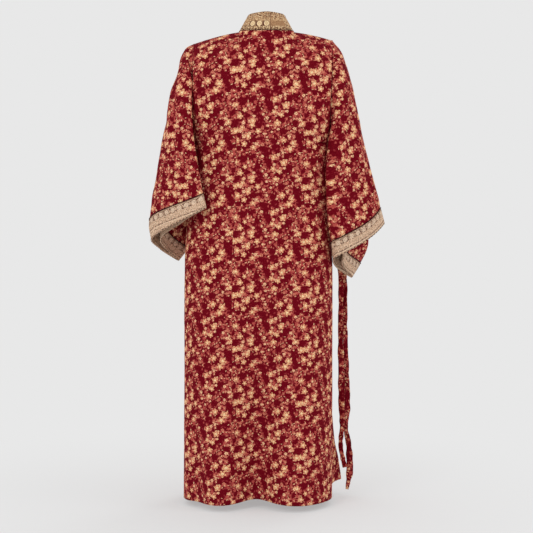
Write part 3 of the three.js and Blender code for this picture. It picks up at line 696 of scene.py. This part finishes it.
def counted(table):
    """The rows of a table, each with its own number first."""
    return [(i, *row) for i, row in enumerate(table)]


def turned(v, axis, degrees):
    angle = np.radians(degrees)[:, None]
    return v * np.cos(angle) + np.cross(axis, v) * np.sin(angle)


def belt_piece():
    last, steps, middle_column = len(BELT_PATH) - 1, 12, 8
    t = np.linspace(0, last, last * steps + 1)
    x, y, z, turn, half, apart = read(counted(BELT_PATH), t)
    centre = np.stack([x, y, z], -1)
    path = unit(np.gradient(centre, axis=0))
    through = unit(np.array([1.0, 0, 0]) - path * path[:, :1])
    width = np.cross(path, through)
    through, width = turned(through, path, turn), turned(width, path, turn)
    w, d = read(counted(BELT_SECTION), np.linspace(0, len(BELT_SECTION) - 1, 2 * middle_column + 1))
    wave = 0.8 * ripple(t[:, None] * 26, w[None, :] * 9, 40, 31)
    pinch = 1 + 0.09 * np.sin(t * 8.3) + 0.06 * np.sin(t * 13.7 + 1)
    across = (half * pinch)[:, None] * w[None, :]
    out = (apart[:, None] + 2) * d[None, :] + wave * (1 - np.abs(w[None, :])) * 0.8
    points = centre[:, None] + width[:, None] * across[..., None] + through[:, None] * out[..., None]
    normals = outward(points, points - centre[:, None])
    u, v = lengths(points)
    u = u - u[:, middle_column][:, None]
    v = np.broadcast_to(v.mean(1, keepdims=True), v.shape)
    return shell("belt_cloth", points, normals, CLOTH, u, v)


def loop_piece():
    top, bottom, stand, half = -424.0, -472.0, 9.2, 4.3
    share = np.linspace(0, 1, 41)
    z = mix(top, bottom, share)
    x = side_x(-1, z) - 1.3 - stand * np.sin(math.pi * share) ** 0.6
    y = np.linspace(-half, half, 9)
    points = np.stack(np.broadcast_arrays(x[:, None], y[None, :], z[:, None]), -1)
    normals = outward(points, np.array([-1, 0, 0]))
    u, v = lengths(points)
    return shell("belt_loop_cloth", points, normals, LOOP_WALL, u + 400, v + 300)


# ---- Trims ----


def tube(path, radius, sides=6, closed=False):
    """A round cord along a path, as points and faces. An open one of four sides has caps."""
    along = np.roll(path, -1, 0) - np.roll(path, 1, 0) if closed else np.gradient(path, axis=0)
    along = unit(along)
    first = unit(np.cross(along, np.array([0.0, 0, 1]) + 1e-4))
    second = np.cross(along, first)
    angle = np.arange(sides)[None, :, None] / sides * 2 * math.pi
    points = path[:, None] + (first[:, None] * np.cos(angle) + second[:, None] * np.sin(angle)) * radius
    rows = len(path)
    r, c = np.indices((rows if closed else rows - 1, sides)).reshape(2, -1)
    at = lambda a, b: (a % rows) * sides + b % sides
    faces = np.stack([at(r, c), at(r, c + 1), at(r + 1, c + 1), at(r + 1, c)], 1).tolist()
    if sides == 4 and not closed:
        last = (rows - 1) * sides
        faces += [[0, 1, 2, 3], [last + 3, last + 2, last + 1, last]]
    return points.reshape(-1, 3), faces


def tubes_object(name, tubes, material):
    """Many tubes as one mesh."""
    points, faces, start = [], [], 0
    for tube_points, tube_faces in tubes:
        points.append(tube_points)
        faces += [[i + start for i in face] for face in tube_faces]
        start += len(tube_points)
    mesh = smooth_mesh(name, (np.concatenate(points) * 0.001).tolist(), faces)
    mesh.validate()
    mesh.materials.append(material)
    return linked(name, mesh)


def stitches(name, lines, length, gap, radius, material):
    """Running stitches: lines are polylines of points already lifted to the cloth's face."""
    tubes = []
    for line in lines:
        steps = np.concatenate([[0], np.cumsum(np.linalg.norm(np.diff(line, axis=0), axis=1))])
        for start in np.arange(gap, steps[-1] - length, length + gap):
            at = np.array([start, start + length * 0.5, start + length])
            path = np.stack([np.interp(at, steps, line[:, i]) for i in range(3)], -1)
            tubes.append(tube(path, radius, 4))
    return tubes_object(name, tubes, material)


# ---- Materials: a small language for node trees ----


def linear(r, g, b):
    """An sRGB colour from 0 to 255 as linear light."""
    shares = (c / 255 for c in (r, g, b))
    return *(c / 12.92 if c <= 0.04045 else ((c + 0.055) / 1.055) ** 2.4 for c in shares), 1.0


def node_of(tree, kind, inputs, **settings):
    """A new node with its settings; inputs pairs each input with a Value, a number or a colour."""
    node = tree.nodes.new("ShaderNode" + kind)
    for key, setting in settings.items():
        setattr(node, key, setting)
    for key, value in dict(inputs).items():
        if isinstance(value, Value):
            tree.links.new(value.socket, node.inputs[key])
        else:
            node.inputs[key].default_value = value
    return node


class Value:
    """A socket of one node tree, with arithmetic that adds nodes."""

    def __init__(self, tree, socket):
        self.tree = tree
        self.socket = socket

    def math(self, operation, *others):
        node = node_of(self.tree, "Math", enumerate((self, *others)), operation=operation)
        return Value(self.tree, node.outputs[0])

    __add__ = __radd__ = lambda self, other: self.math("ADD", other)
    __mul__ = __rmul__ = lambda self, other: self.math("MULTIPLY", other)
    __sub__ = lambda self, other: self.math("SUBTRACT", other)
    __truediv__ = lambda self, other: self.math("DIVIDE", other)
    floor = lambda self: self.math("FLOOR")
    sin = lambda self: self.math("SINE")
    cos = lambda self: self.math("COSINE")
    abs = lambda self: self.math("ABSOLUTE")
    wrap = lambda self, size: self.math("FLOORED_MODULO", size)
    over = lambda self, other: self.math("GREATER_THAN", other)
    larger = lambda self, other: self.math("MAXIMUM", other)

    def between(self, zero, one):
        """A soft step from 0 at the first value to 1 at the second."""
        ends = {"Value": self, "From Min": zero, "From Max": one}
        node = node_of(self.tree, "MapRange", ends, interpolation_type="SMOOTHSTEP")
        return Value(self.tree, node.outputs["Result"])

    def inside(self, edge, soft):
        """1 where the value is below edge and 0 above it, with a soft step between."""
        return self.between(edge + soft, edge - soft)

    def within(self, low, high, soft):
        """1 between two values, with a soft step at each."""
        return self.between(low - soft, low + soft) * outside(self.between(high - soft, high + soft))


def outside(mask):
    return 1.0 + mask * -1.0


def length_of(x, y):
    return (x * x + y * y).math("SQRT")


def vector_of(x, y, z=0.0):
    return Value(x.tree, node_of(x.tree, "CombineXYZ", enumerate((x, y, z))).outputs[0])


def split(tree, socket):
    node = node_of(tree, "SeparateXYZ", {0: Value(tree, socket)})
    return [Value(tree, output) for output in node.outputs]


def blend(below, above, mask):
    """below where mask is 0 and above where it is 1; either may be a plain colour."""
    node = node_of(mask.tree, "Mix", {0: mask, 6: below, 7: above}, data_type="RGBA")
    return Value(mask.tree, node.outputs[2])


def layered(colour, *layers):
    """A colour under layers of another colour and its mask."""
    for shade, mask in layers:
        colour = blend(colour, shade, mask)
    return colour


def noise(at, scale, detail=2.0, rough=0.5):
    inputs = {"Vector": at, "Scale": scale, "Detail": detail, "Roughness": rough}
    return Value(at.tree, node_of(at.tree, "TexNoise", inputs).outputs[0])


def random_of(x, y, seed):
    """Four random numbers for a cell: three from the colour and one from the value."""
    at = {"Vector": vector_of(x + 0.31, y + 0.57, float(seed))}
    node = node_of(x.tree, "TexWhiteNoise", at, noise_dimensions="3D")
    return split(x.tree, node.outputs["Color"]) + [Value(x.tree, node.outputs["Value"])]


def new_material(name):
    material = bpy.data.materials.new(name)
    material.use_nodes = True
    material.node_tree.nodes.clear()
    return material, material.node_tree


def cloth_material(name):
    """A new material and the cloth's flat coordinates in metres."""
    material, tree = new_material(name)
    return material, *split(tree, node_of(tree, "UVMap", {}, uv_map="cloth").outputs[0])[:2]


def close_material(colour, height, roughness, sheen, distance, strength, gloss):
    tree = colour.tree
    bump = node_of(tree, "Bump", {"Strength": strength, "Distance": distance, "Height": height})
    shader = node_of(tree, "BsdfPrincipled", {
        "Base Color": colour,
        "Roughness": roughness,
        "Sheen Weight": sheen,
        "Sheen Roughness": 0.4,
        "Sheen Tint": (0.6, 0.12, 0.12, 1),
        "Specular IOR Level": gloss,
        "Normal": Value(tree, bump.outputs[0]),
    })
    node_of(tree, "OutputMaterial", {0: Value(tree, shader.outputs[0])})


def toned(colour, value):
    """The colour made darker or lighter by value."""
    node = node_of(colour.tree, "HueSaturation", {"Color": colour, "Value": value})
    return Value(colour.tree, node.outputs[0])


# ---- The flower print ----

GROUND = linear(98, 1, 17)
GROUND_LIGHT = linear(112, 7, 24)
LEAF = linear(150, 50, 54)
SALMON = linear(188, 84, 76)
PEACH = linear(214, 128, 104)
CREAM = linear(255, 204, 158)
PALE = linear(255, 228, 176)
GOLD = linear(250, 190, 140)
HEART = linear(160, 66, 52)
SHADE = linear(130, 28, 36)
PETALS = 5
PRINT_THREAD = 0.0009  # metres from one thread to the next
BORDER_THREAD = 0.0012


def clusters(x, y):
    """Where the repeat is crowded (towards 1) and where its ground shows (towards 0)."""
    waves = ((5, 2, 0.4), (-2, 4, 1.9), (4, -4, 4.1), (1, 5, 2.6), (6, 1, 5.2), (-3, 1, 0.9))
    return sum(((x * a + y * b) * (2 * math.pi) + phase).sin() for a, b, phase in waves) * 0.15 + 0.5


class Motifs:
    """A layer of motifs on a turned lattice that closes on the repeat, each with its own size."""

    def __init__(self, x, y, lattice, seed, reach, share, crowd):
        xx, xy, yx, yy = lattice
        cells = xx * yy - xy * yx
        shift = (seed * 0.37) % 1
        a, b = x * xx + y * xy + shift, x * yx + y * yy + shift * 1.7
        cell_a, cell_b = a.floor(), b.floor()
        id_a = (cell_a * yy - cell_b * xy).wrap(cells)
        id_b = (cell_b * xx - cell_a * yx).wrap(cells)
        one, two, three, four = random_of(id_a, id_b, seed)
        side = math.sqrt(REPEAT[0] * REPEAT[1] / cells)
        wander = max(1 - 2 * reach / side, 0.12)
        here_a = a - cell_a - 0.5 - (one - 0.5) * wander
        here_b = b - cell_b - 0.5 - (two - 0.5) * wander
        self.dx = (here_a * yy - here_b * xy) * (REPEAT[0] / cells)
        self.dy = (here_b * xx - here_a * yx) * (REPEAT[1] / cells)
        mid_a = (cell_a + (0.5 - shift)) * (1 / cells)
        mid_b = (cell_b + (0.5 - shift * 1.7)) * (1 / cells)
        density = clusters(mid_a * yy - mid_b * xy, mid_b * xx - mid_a * yx)
        self.here = (density * crowd + (share - crowd * 0.5) - three).over(0)
        self.turn = four * (2 * math.pi)
        self.size = one * 0.35 + two * 0.25 + 0.7
        self.radius = length_of(self.dx, self.dy) / self.size
        self.angle = self.dy.math("ARCTAN2", self.dx) + self.turn

    def flower(self, radius, notch, soft=0.4):
        lobes = (self.angle * (PETALS / 2)).cos().abs()
        return (self.radius - lobes * (radius * notch)).inside(radius * (1 - notch), soft) * self.here

    def disc(self, radius, soft=0.4):
        return self.radius.inside(radius, soft) * self.here

    def axes(self):
        """Along and across the motif, in its own turned frame and size."""
        cos, sin = self.turn.cos(), self.turn.sin()
        return (self.dx * cos - self.dy * sin) / self.size, (self.dx * sin + self.dy * cos) / self.size

    def leaf(self, long, wide, soft=0.4):
        along, across = self.axes()
        u, v = along / long, across / wide
        return (length_of(u, v) + (u * 6).sin() * 0.12).inside(1, soft / wide) * self.here

    def sprig(self, long, wide, soft=0.4):
        """A bent stem with little leaves either side."""
        along, across = self.axes()
        bent = across - along * along * (0.5 / long)
        teeth = (along * (2 * math.pi / (long * 0.55)) + bent * 0.5).sin().abs() * wide
        ends = along.abs().inside(long, 0.6)
        return (bent.abs() - teeth).inside(wide * 0.25, soft) * ends * self.here


# lattice, seed, share filled, crowding, kind, length, width or notch, colour
PRINT_LAYERS = [
    ((12, -4, 5, 9), 3, 0.5, 1.4, "sprig", 5, 1.15, LEAF),
    ((11, 4, -5, 9), 5, 0.46, 1.5, "sprig", 4.8, 1.05, SALMON),
    ((19, -3, 4, 15), 11, 0.48, 0.5, "leaf", 3.3, 1.6, LEAF),
    ((16, 6, -8, 12), 17, 0.44, 1.5, "leaf", 3.4, 1.4, SALMON),
    ((11, -5, 6, 9), 23, 0.48, 1.5, "flower", 5, 0.5, SALMON),
    ((17, 5, -6, 13), 25, 0.38, 0.9, "flower", 3.4, 0.5, SALMON),
    ((12, 3, -4, 10), 27, 0.4, 1.6, "flower", 4.5, 0.5, PEACH),
    ((18, -7, 9, 14), 31, 0.38, 0.8, "leaf", 2.6, 1.2, PEACH),
    ((9, 4, -5, 8), 37, 0.28, 1.5, "flower", 4.2, 0.5, CREAM),
    ((20, 5, -6, 16), 39, 0.26, 1.4, "leaf", 2.4, 1, CREAM),
]
ROSE_LAYERS = [((6, -2, 3, 5), 41, 0.3), ((6, 2, -3, 5), 53, 0.22)]


def print_material():
    material, u, v = cloth_material("flower_print")
    place = vector_of(u, v)
    x = u * (1000 / REPEAT[0]) + (noise(place, 260, 3, 0.75) - 0.5) * 0.022
    y = v * (1000 / REPEAT[1]) + (noise(vector_of(v + 3, u), 260, 3, 0.75) - 0.5) * 0.028
    colour = blend(GROUND, GROUND_LIGHT, noise(place, 420).between(0.35, 0.65))
    for lattice, seed, share, crowd, kind, long, wide, shade in PRINT_LAYERS:
        motif = Motifs(x, y, lattice, seed, long * 1.2, share, crowd)
        colour = blend(colour, shade, getattr(motif, kind)(long, wide, 0.35))
        if kind == "flower" and long > 4:
            colour = blend(colour, HEART, motif.disc(long * 0.24) * 0.75)
    for lattice, seed, share in ROSE_LAYERS:
        rose = Motifs(x, y, lattice, seed, 11, share, 1.3)
        folds = (rose.radius * 1.5 + (rose.angle * 3).sin() * 1.5).sin().between(0.1, 0.8)
        colour = layered(
            colour,
            (GOLD, rose.flower(8.8, 0.52)),
            (SALMON, folds * rose.flower(8.4, 0.52) * 0.75),
            (PALE, rose.disc(2.8) * 0.9),
        )
    broken = noise(place, 380, 2, 0.7).between(0.52, 0.6)
    colour = blend(colour, SHADE, broken * 0.68)
    slub = noise(vector_of(u * 60, v * 900), 1) + noise(vector_of(u * 900, v * 60), 1)
    slub = slub * 0.5
    thread = 2 * math.pi / PRINT_THREAD
    threads = (u * thread).sin() * (v * thread).sin() * 0.25
    rumple = noise(place, 34, 3) * 6 + noise(vector_of(u, v * 0.35), 60) * 4
    height = threads + rumple + slub * 0.8
    close_material(toned(colour, slub * 0.3 + 0.85), height, 0.75, 0.04, 0.0005, 0.55, 0.02)
    return material


# ---- The border cloth ----

TAN_DARK = linear(92, 50, 36)
TAN_BROWN = linear(143, 99, 68)
TAN = linear(190, 147, 107)
TAN_LIGHT = linear(220, 182, 138)
BORDER_CREAM = linear(250, 220, 172)
RUST = linear(150, 62, 44)
WINE = linear(82, 10, 18)
PINK_TAN = linear(206, 166, 136)
PINK_LIGHT = linear(240, 212, 184)
PINK_BROWN = linear(148, 104, 82)
PINK_DARK = linear(88, 46, 40)
PINK_CREAM = linear(250, 222, 190)


def flecks(u, v, seed, scale, low, high):
    """Ragged specks of thread, about 1 / scale of a metre apart."""
    return noise(vector_of(u, v, float(seed)), scale, 2, 0.6).between(low, high)


def brocade(u, v, ground, light, dark, seed):
    """Two tones of thread in a fine uneven weave."""
    a = ((u + v) * (2000 * math.pi / 7)).sin() * ((u - v) * (2000 * math.pi / 7)).sin() * 0.5
    uneven = noise(vector_of(u, v, float(seed)), 330, 3, 0.7) * 2.4 - 1.2
    return layered(
        ground, (light, (a + uneven).between(0, 0.5)), (dark, (a - uneven).between(0.25, 0.75) * 0.75)
    )


def band(v, low, high, soft=0.35):
    """1 between two heights across the border, in millimetres."""
    return (v * 1000).within(low, high, soft)


def discs(u, v, pitch, height, shift=0):
    """How far away the nearest middle is, in a row of round ornaments."""
    along = u * (1000 / pitch) + shift
    return length_of((along - along.floor() - 0.5) * pitch, v * 1000 - height)


def ornament(reach, radius):
    """Masks of a round ornament: the disc, its ring and its heart."""
    sizes = ((1, 0.45), (0.62, 0.4), (0.24, 0.3))
    return [reach.inside(radius * share, soft) for share, soft in sizes]


def finish_border(u, v, colour, extra):
    place = vector_of(u, v)
    thread = 2 * math.pi / BORDER_THREAD
    threads = (u * thread).sin() * (v * thread).sin()
    height = threads * 0.6 + noise(place, 520) * 1.2 + noise(place, 60) * 3 + extra
    value = noise(place, 90, 3) * 0.3 + 0.85
    close_material(toned(colour, value), height, 0.7, 0, 0.0005, 0.6, 0.1)


def collar_material():
    """u runs from the nape down each front, negative on the wearer's right; v from seam to edge."""
    material, u, v = cloth_material("collar_border")
    rim = band(v, 39.5, 60, 1)
    both = rim.larger(band(v, -2, 15.5, 1))
    left = u * 1000
    right = left * -1
    place = (left + 11.2).wrap(178.4)
    nape = outside(right.within(8.5, 160.5, 0.5))
    in_row = place.between(0, 0.6) * outside(place.between(66.5, 67.2)) * nape
    disc, inner, heart = ornament(discs(u, v, 22.3, 20.6, 0.5), 7.9)
    gap = band(v, 12.5, 28.7, 0.8) * in_row
    shown = disc * in_row
    pieced = right.between(12.4, 12.8) * outside(right.between(60, 60.6)) * band(v, 12.5, 29)
    seam_line = (right - 12.4).abs().inside(0.7, 0.4)
    colour = layered(
        brocade(u, v, TAN, TAN_LIGHT, TAN_BROWN, 3),
        (TAN_DARK, flecks(u, v, 8, 210, 0.54, 0.59) * 0.85),
        (BORDER_CREAM, flecks(u, v, 9, 220, 0.54, 0.6) * 0.8),
        (RUST, flecks(u, v, 5, 210, 0.52, 0.58) * rim * 0.75),
        (BORDER_CREAM, flecks(u, v, 6, 220, 0.54, 0.6) * both * 0.95),
        (TAN_DARK, flecks(u, v, 7, 210, 0.53, 0.58) * both * 0.95),
        (TAN_DARK, discs(u, v, 9.3, 5.5).inside(2, 0.45) * 0.85),
        (TAN_DARK, band(v, 12.8, 13.8) * 0.5),
        (TAN_DARK, gap * 0.5),
        (WINE, gap * discs(u, v, 22.3, 20.2, 0.42).inside(9.6, 0.45) * 0.95),
        (BORDER_CREAM, shown),
        (TAN, inner * shown * 0.45),
        (BORDER_CREAM, heart * shown),
        (blend(TAN_BROWN, TAN, flecks(u, v, 21, 300, 0.3, 0.7)), pieced * 0.9),
        (TAN_DARK, seam_line * 0.85),
        (WINE, band(v, -2, 1.2) * 0.9),
    )
    finish_border(u, v, colour, seam_line * -3 + shown * 0.8)
    return material


def cuff_material():
    """u runs round the cuff and v from the seam to the edge."""
    material, u, v = cloth_material("cuff_border")
    reach = discs(u, v, 22, 11)
    disc, inner, heart = ornament(reach, 6.4)
    halo = reach.inside(7.8, 0.45)
    dots = discs(u, v, 22, 16, 0.5).inside(1.9, 0.45)
    dots = dots.larger(discs(u, v, 22, 6, 0.42).inside(1.9, 0.45))
    edge = v * 1000 + noise(vector_of(u, v), 40, 1) * 2
    colour = layered(
        brocade(u, v, PINK_TAN, PINK_LIGHT, PINK_BROWN, 5),
        (PINK_DARK, flecks(u, v, 18, 240, 0.55, 0.61) * 0.7),
        (PINK_CREAM, flecks(u, v, 19, 250, 0.54, 0.61) * 0.8),
        (PINK_DARK, flecks(u, v, 9, 210, 0.53, 0.58) * band(v, 3, 19.5, 0.8) * outside(halo)),
        (PINK_DARK, halo * flecks(u, v, 23, 150, 0.44, 0.52) * 0.75),
        (PINK_LIGHT, disc * 0.8),
        (PINK_BROWN, inner * flecks(u, v, 24, 240, 0.45, 0.55) * 0.6),
        (PINK_CREAM, heart * 0.7),
        (PINK_DARK, dots * 0.9),
        (PINK_DARK, flecks(u, v, 12, 170, 0.45, 0.52) * edge.within(35, 38.5, 0.5) * 0.8),
        (PINK_CREAM, edge.within(38.7, 42.5, 0.5) * 0.35),
    )
    finish_border(u, v, colour, disc * 0.8)
    return material


def plain_material(name, colour):
    """Thread or cord of one colour, with a little grain."""
    material, tree = new_material(name)
    grain = noise(Value(tree, node_of(tree, "TexCoord", {}).outputs["Object"]), 900)
    darker = tuple(c * 0.6 for c in colour[:3]) + (1,)
    close_material(blend(darker, colour, grain), grain, 0.6, 0.1, 0.0002, 0.5, 0.18)
    return material


# ---- Building the garment ----

back_grid = back_point(body_columns(-HALF_BACK, HALF_BACK), BODY_ROWS)
back = panel("back_cloth", back_grid, 1, HALF_BACK * FINE, BACK_CREASES, 3, 7, (0, 0))
front_left = front_panel(1, "front_left_cloth", FRONT_CREASES, 12)
other_creases = [(a + 12, b + 30, c - 8, d - 20, w, -deep) for a, b, c, d, w, deep in FRONT_CREASES]
front_right = front_panel(-1, "front_right_cloth", other_creases, 17)
sleeve_left = sleeve_piece(1, "sleeve_left_cloth", 21)
sleeve_right = sleeve_piece(-1, "sleeve_right_cloth", 27)
cuff_left = cuff_piece(1, "cuff_left_cloth")
cuff_right = cuff_piece(-1, "cuff_right_cloth")
collar_left = collar_piece(1, "collar_left_cloth", 33)
collar_right = collar_piece(-1, "collar_right_cloth", 35)
belt = belt_piece()
loop = loop_piece()

for material, pieces in (
    (print_material(), (back, front_left, front_right, sleeve_left, sleeve_right, belt, loop)),
    (collar_material(), (collar_left, collar_right)),
    (cuff_material(), (cuff_left, cuff_right)),
):
    for piece in pieces:
        piece.data.materials.append(material)

# Dark maroon piping cord, darkened towards black as painted shade for the gap between sleeve and body at the
# armhole.
PIPING_AND_SHADE = plain_material("piping_cord_and_shade", linear(62, 8, 15))
THREAD_BROWN = plain_material("brown_thread", linear(84, 46, 38))
THREAD_TAN = plain_material("tan_thread", linear(150, 112, 80))


def armhole_trim(hand, side):
    """The turned-in seam round the armhole, let further in where it passes over the shoulder. Its near-black
    cord is also painted shade for the dark gap between the sleeve and the body.
    """
    rim = ring(hand, np.array([0.0, 0.004, 0.008]))[0]
    inwards = unit(rim[1].mean(0) - rim[1])
    inset = 1.9 + 2.2 * np.clip(-inwards[:, 2:], 0, 1) ** 2
    return [tubes_object(f"armhole_seam_and_shade_{side}", [tube(rim[0] + inwards * inset, 2.3, 8, True)], PIPING_AND_SHADE)]


def cuff_trims(hand, side):
    """Piping in the seam, a line of stitching near each edge of the cuff, and overcasting."""
    seam, out = ring(hand, np.array([SEAM_LEVEL - 0.0007, SEAM_LEVEL, SEAM_LEVEL + 0.0007]))
    cord = tubes_object(f"cuff_piping_{side}", [tube(seam[1] + out[1] * 0.5, 1.3, 6, True)], PIPING_AND_SHADE)
    rings, out = ring(hand, CUFF_LEVELS)

    def closed_line(row, share, lift):
        line = mix(rings[row], rings[row + 1], share) + out[row] * lift
        return np.concatenate([line, line[:1]])

    lines = [closed_line(1, 0.6, 0.62), closed_line(19, 0.4, 0.62)]
    thread = stitches(f"cuff_stitches_{side}", lines, 2.4, 1.4, 0.28, THREAD_TAN)
    rim = [closed_line(20, 0.55, 0.3)]
    return [cord, thread, stitches(f"cuff_overcast_{side}", rim, 5.0, 6.0, 1.1, THREAD_BROWN)]


def collar_trims(hand, side):
    """A thin cord in the collar's seam, from the nape to the hem, and two lines of stitching."""
    points = collar_point(hand, COLLAR_STATIONS, np.array([[-0.006, 0.03, 0.06, 0.94, 0.97]]))
    normals = outward(points, np.array([0, -1, 0]))
    cord = tubes_object(f"collar_piping_{side}", [tube(points[:, 0] + normals[:, 0] * 0.3, 0.9)], PIPING_AND_SHADE)
    lines = [points[:, k] + normals[:, k] * 0.75 for k in (2, 3)]
    return [cord, stitches(f"collar_stitches_{side}", lines, 2.6, 1.6, 0.26, THREAD_TAN)]


cuff_left_trims = cuff_trims(1, "left")
cuff_right_trims = cuff_trims(-1, "right")
sleeve_left_trims = armhole_trim(1, "left")
sleeve_right_trims = armhole_trim(-1, "right")
collar_left_trims = collar_trims(1, "left")
collar_right_trims = collar_trims(-1, "right")

# ---- What each piece stands for ----

# cloth, node, slot, flat size, flat area, what it rests on, trims
PIECES = [
    (back, "back", "print", (0.645, 1.395), 0.73, ["collar_left_cloth", "collar_right_cloth"], []),
    (front_left, "front_left", "print", (0.265, 1.39), 0.294, ["back_cloth"], []),
    (front_right, "front_right", "print", (0.315, 1.39), 0.278, ["back_cloth"], []),
    (sleeve_left, "sleeve_left", "print", (0.72, 0.52), 0.2025, ["back_cloth"], sleeve_left_trims),
    (sleeve_right, "sleeve_right", "print", (0.785, 0.51), 0.26, ["back_cloth"], sleeve_right_trims),
    (cuff_left, "cuff_left", "border", (0.72, 0.057), 0.0334, ["sleeve_left_cloth"], cuff_left_trims),
    (cuff_right, "cuff_right", "border", (0.745, 0.048), 0.0319, ["sleeve_right_cloth"], cuff_right_trims),
    (collar_left, "collar_left", "border", (0.0575, 1.52), None, ["front_left_cloth"], collar_left_trims),
    (collar_right, "collar_right", "border", (0.0575, 1.52), None, ["front_right_cloth"], collar_right_trims),
    (belt, "belt", "print", (0.044, 1.78), 0.0545, ["belt_loop_cloth"], []),
    (loop, "belt_loop", "print", (0.01, 0.054), None, ["back_cloth"], []),
]
for obj, node, slot_name, flat, area, rests_on, trims in PIECES:
    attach(obj, "root")
    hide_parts(node)
    for trim in trims:
        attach(trim, "root")

# ---- Floor, light and camera ----

FLOOR_Z = -1.353
FLOOR_SIDES = 64
BACKDROP = linear(232, 232, 232)


def floor_material():
    """Pale and seamless: it takes the garment's shadow nearby and is an even tone further off."""
    material, tree = new_material("studio_floor")
    glow = node_of(tree, "Emission", {0: BACKDROP})
    soft = node_of(tree, "BsdfDiffuse", {0: (0.78, 0.78, 0.78, 1)})
    x, y, _ = split(tree, node_of(tree, "TexCoord", {}).outputs["Object"])
    near = length_of(x, y).between(1.5, 0.2) * 0.55
    shaders = {0: near, 1: Value(tree, glow.outputs[0]), 2: Value(tree, soft.outputs[0])}
    node_of(tree, "OutputMaterial", {0: Value(tree, node_of(tree, "MixShader", shaders).outputs[0])})
    return material


def disc_floor():
    """A disc of rings, finer towards the middle."""
    turns = np.arange(FLOOR_SIDES) / FLOOR_SIDES * 2 * math.pi
    points, faces = [(0, 0, 0)], []
    for i, radius in enumerate((0.3, 1, 2, 5, 12, 40)):
        points += [(radius * math.cos(a), radius * math.sin(a), 0) for a in turns]
        here, before = 1 + i * FLOOR_SIDES, 1 + (i - 1) * FLOOR_SIDES
        for k in range(FLOOR_SIDES):
            n = (k + 1) % FLOOR_SIDES
            outer = (here + k, here + n)
            faces.append((0, *outer) if i == 0 else (before + k, *outer, before + n))
    mesh = bpy.data.meshes.new("floor")
    mesh.from_pydata(points, [], faces)
    mesh.materials.append(floor_material())
    obj = linked("floor", mesh)
    obj.location = (0, 0, FLOOR_Z)
    return obj


def area_light(name, place, aim, size, watts):
    data = bpy.data.lights.new(name, "AREA")
    data.shape = "DISK"
    data.size = size
    data.energy = watts
    obj = linked(name, data)
    obj.location = place
    x, y, z = np.array(aim) - np.array(place)
    tilt, turn = math.atan2(z, math.hypot(x, y)), math.atan2(y, x)
    obj.rotation_euler = (math.pi / 2 + tilt, 0, turn - math.pi / 2)


disc_floor()
area_light("key", (1.9, 2.9, 0.9), (0, 0, -0.6), 1.6, 26)
area_light("key_front", (-2.0, -2.9, 1.0), (0, 0, -0.6), 1.8, 24)
area_light("rim", (-2.6, 1.0, 0.6), (0, 0, -0.5), 1.2, 9)

world = bpy.data.worlds.new("studio")
world.use_nodes = True
world.node_tree.nodes["Background"].inputs[0].default_value = BACKDROP
world.node_tree.nodes["Background"].inputs[1].default_value = 1.0
bpy.context.scene.world = world
bpy.context.scene.view_settings.view_transform = "Standard"

camera_data = bpy.data.cameras.new("camera")
camera_data.lens = 74.53
camera_data.sensor_width = 36
camera = linked("camera", camera_data)
camera.location = (0, 3.2, -0.671)
camera.rotation_euler = (math.pi / 2, 0, math.pi)
bpy.context.scene.camera = camera
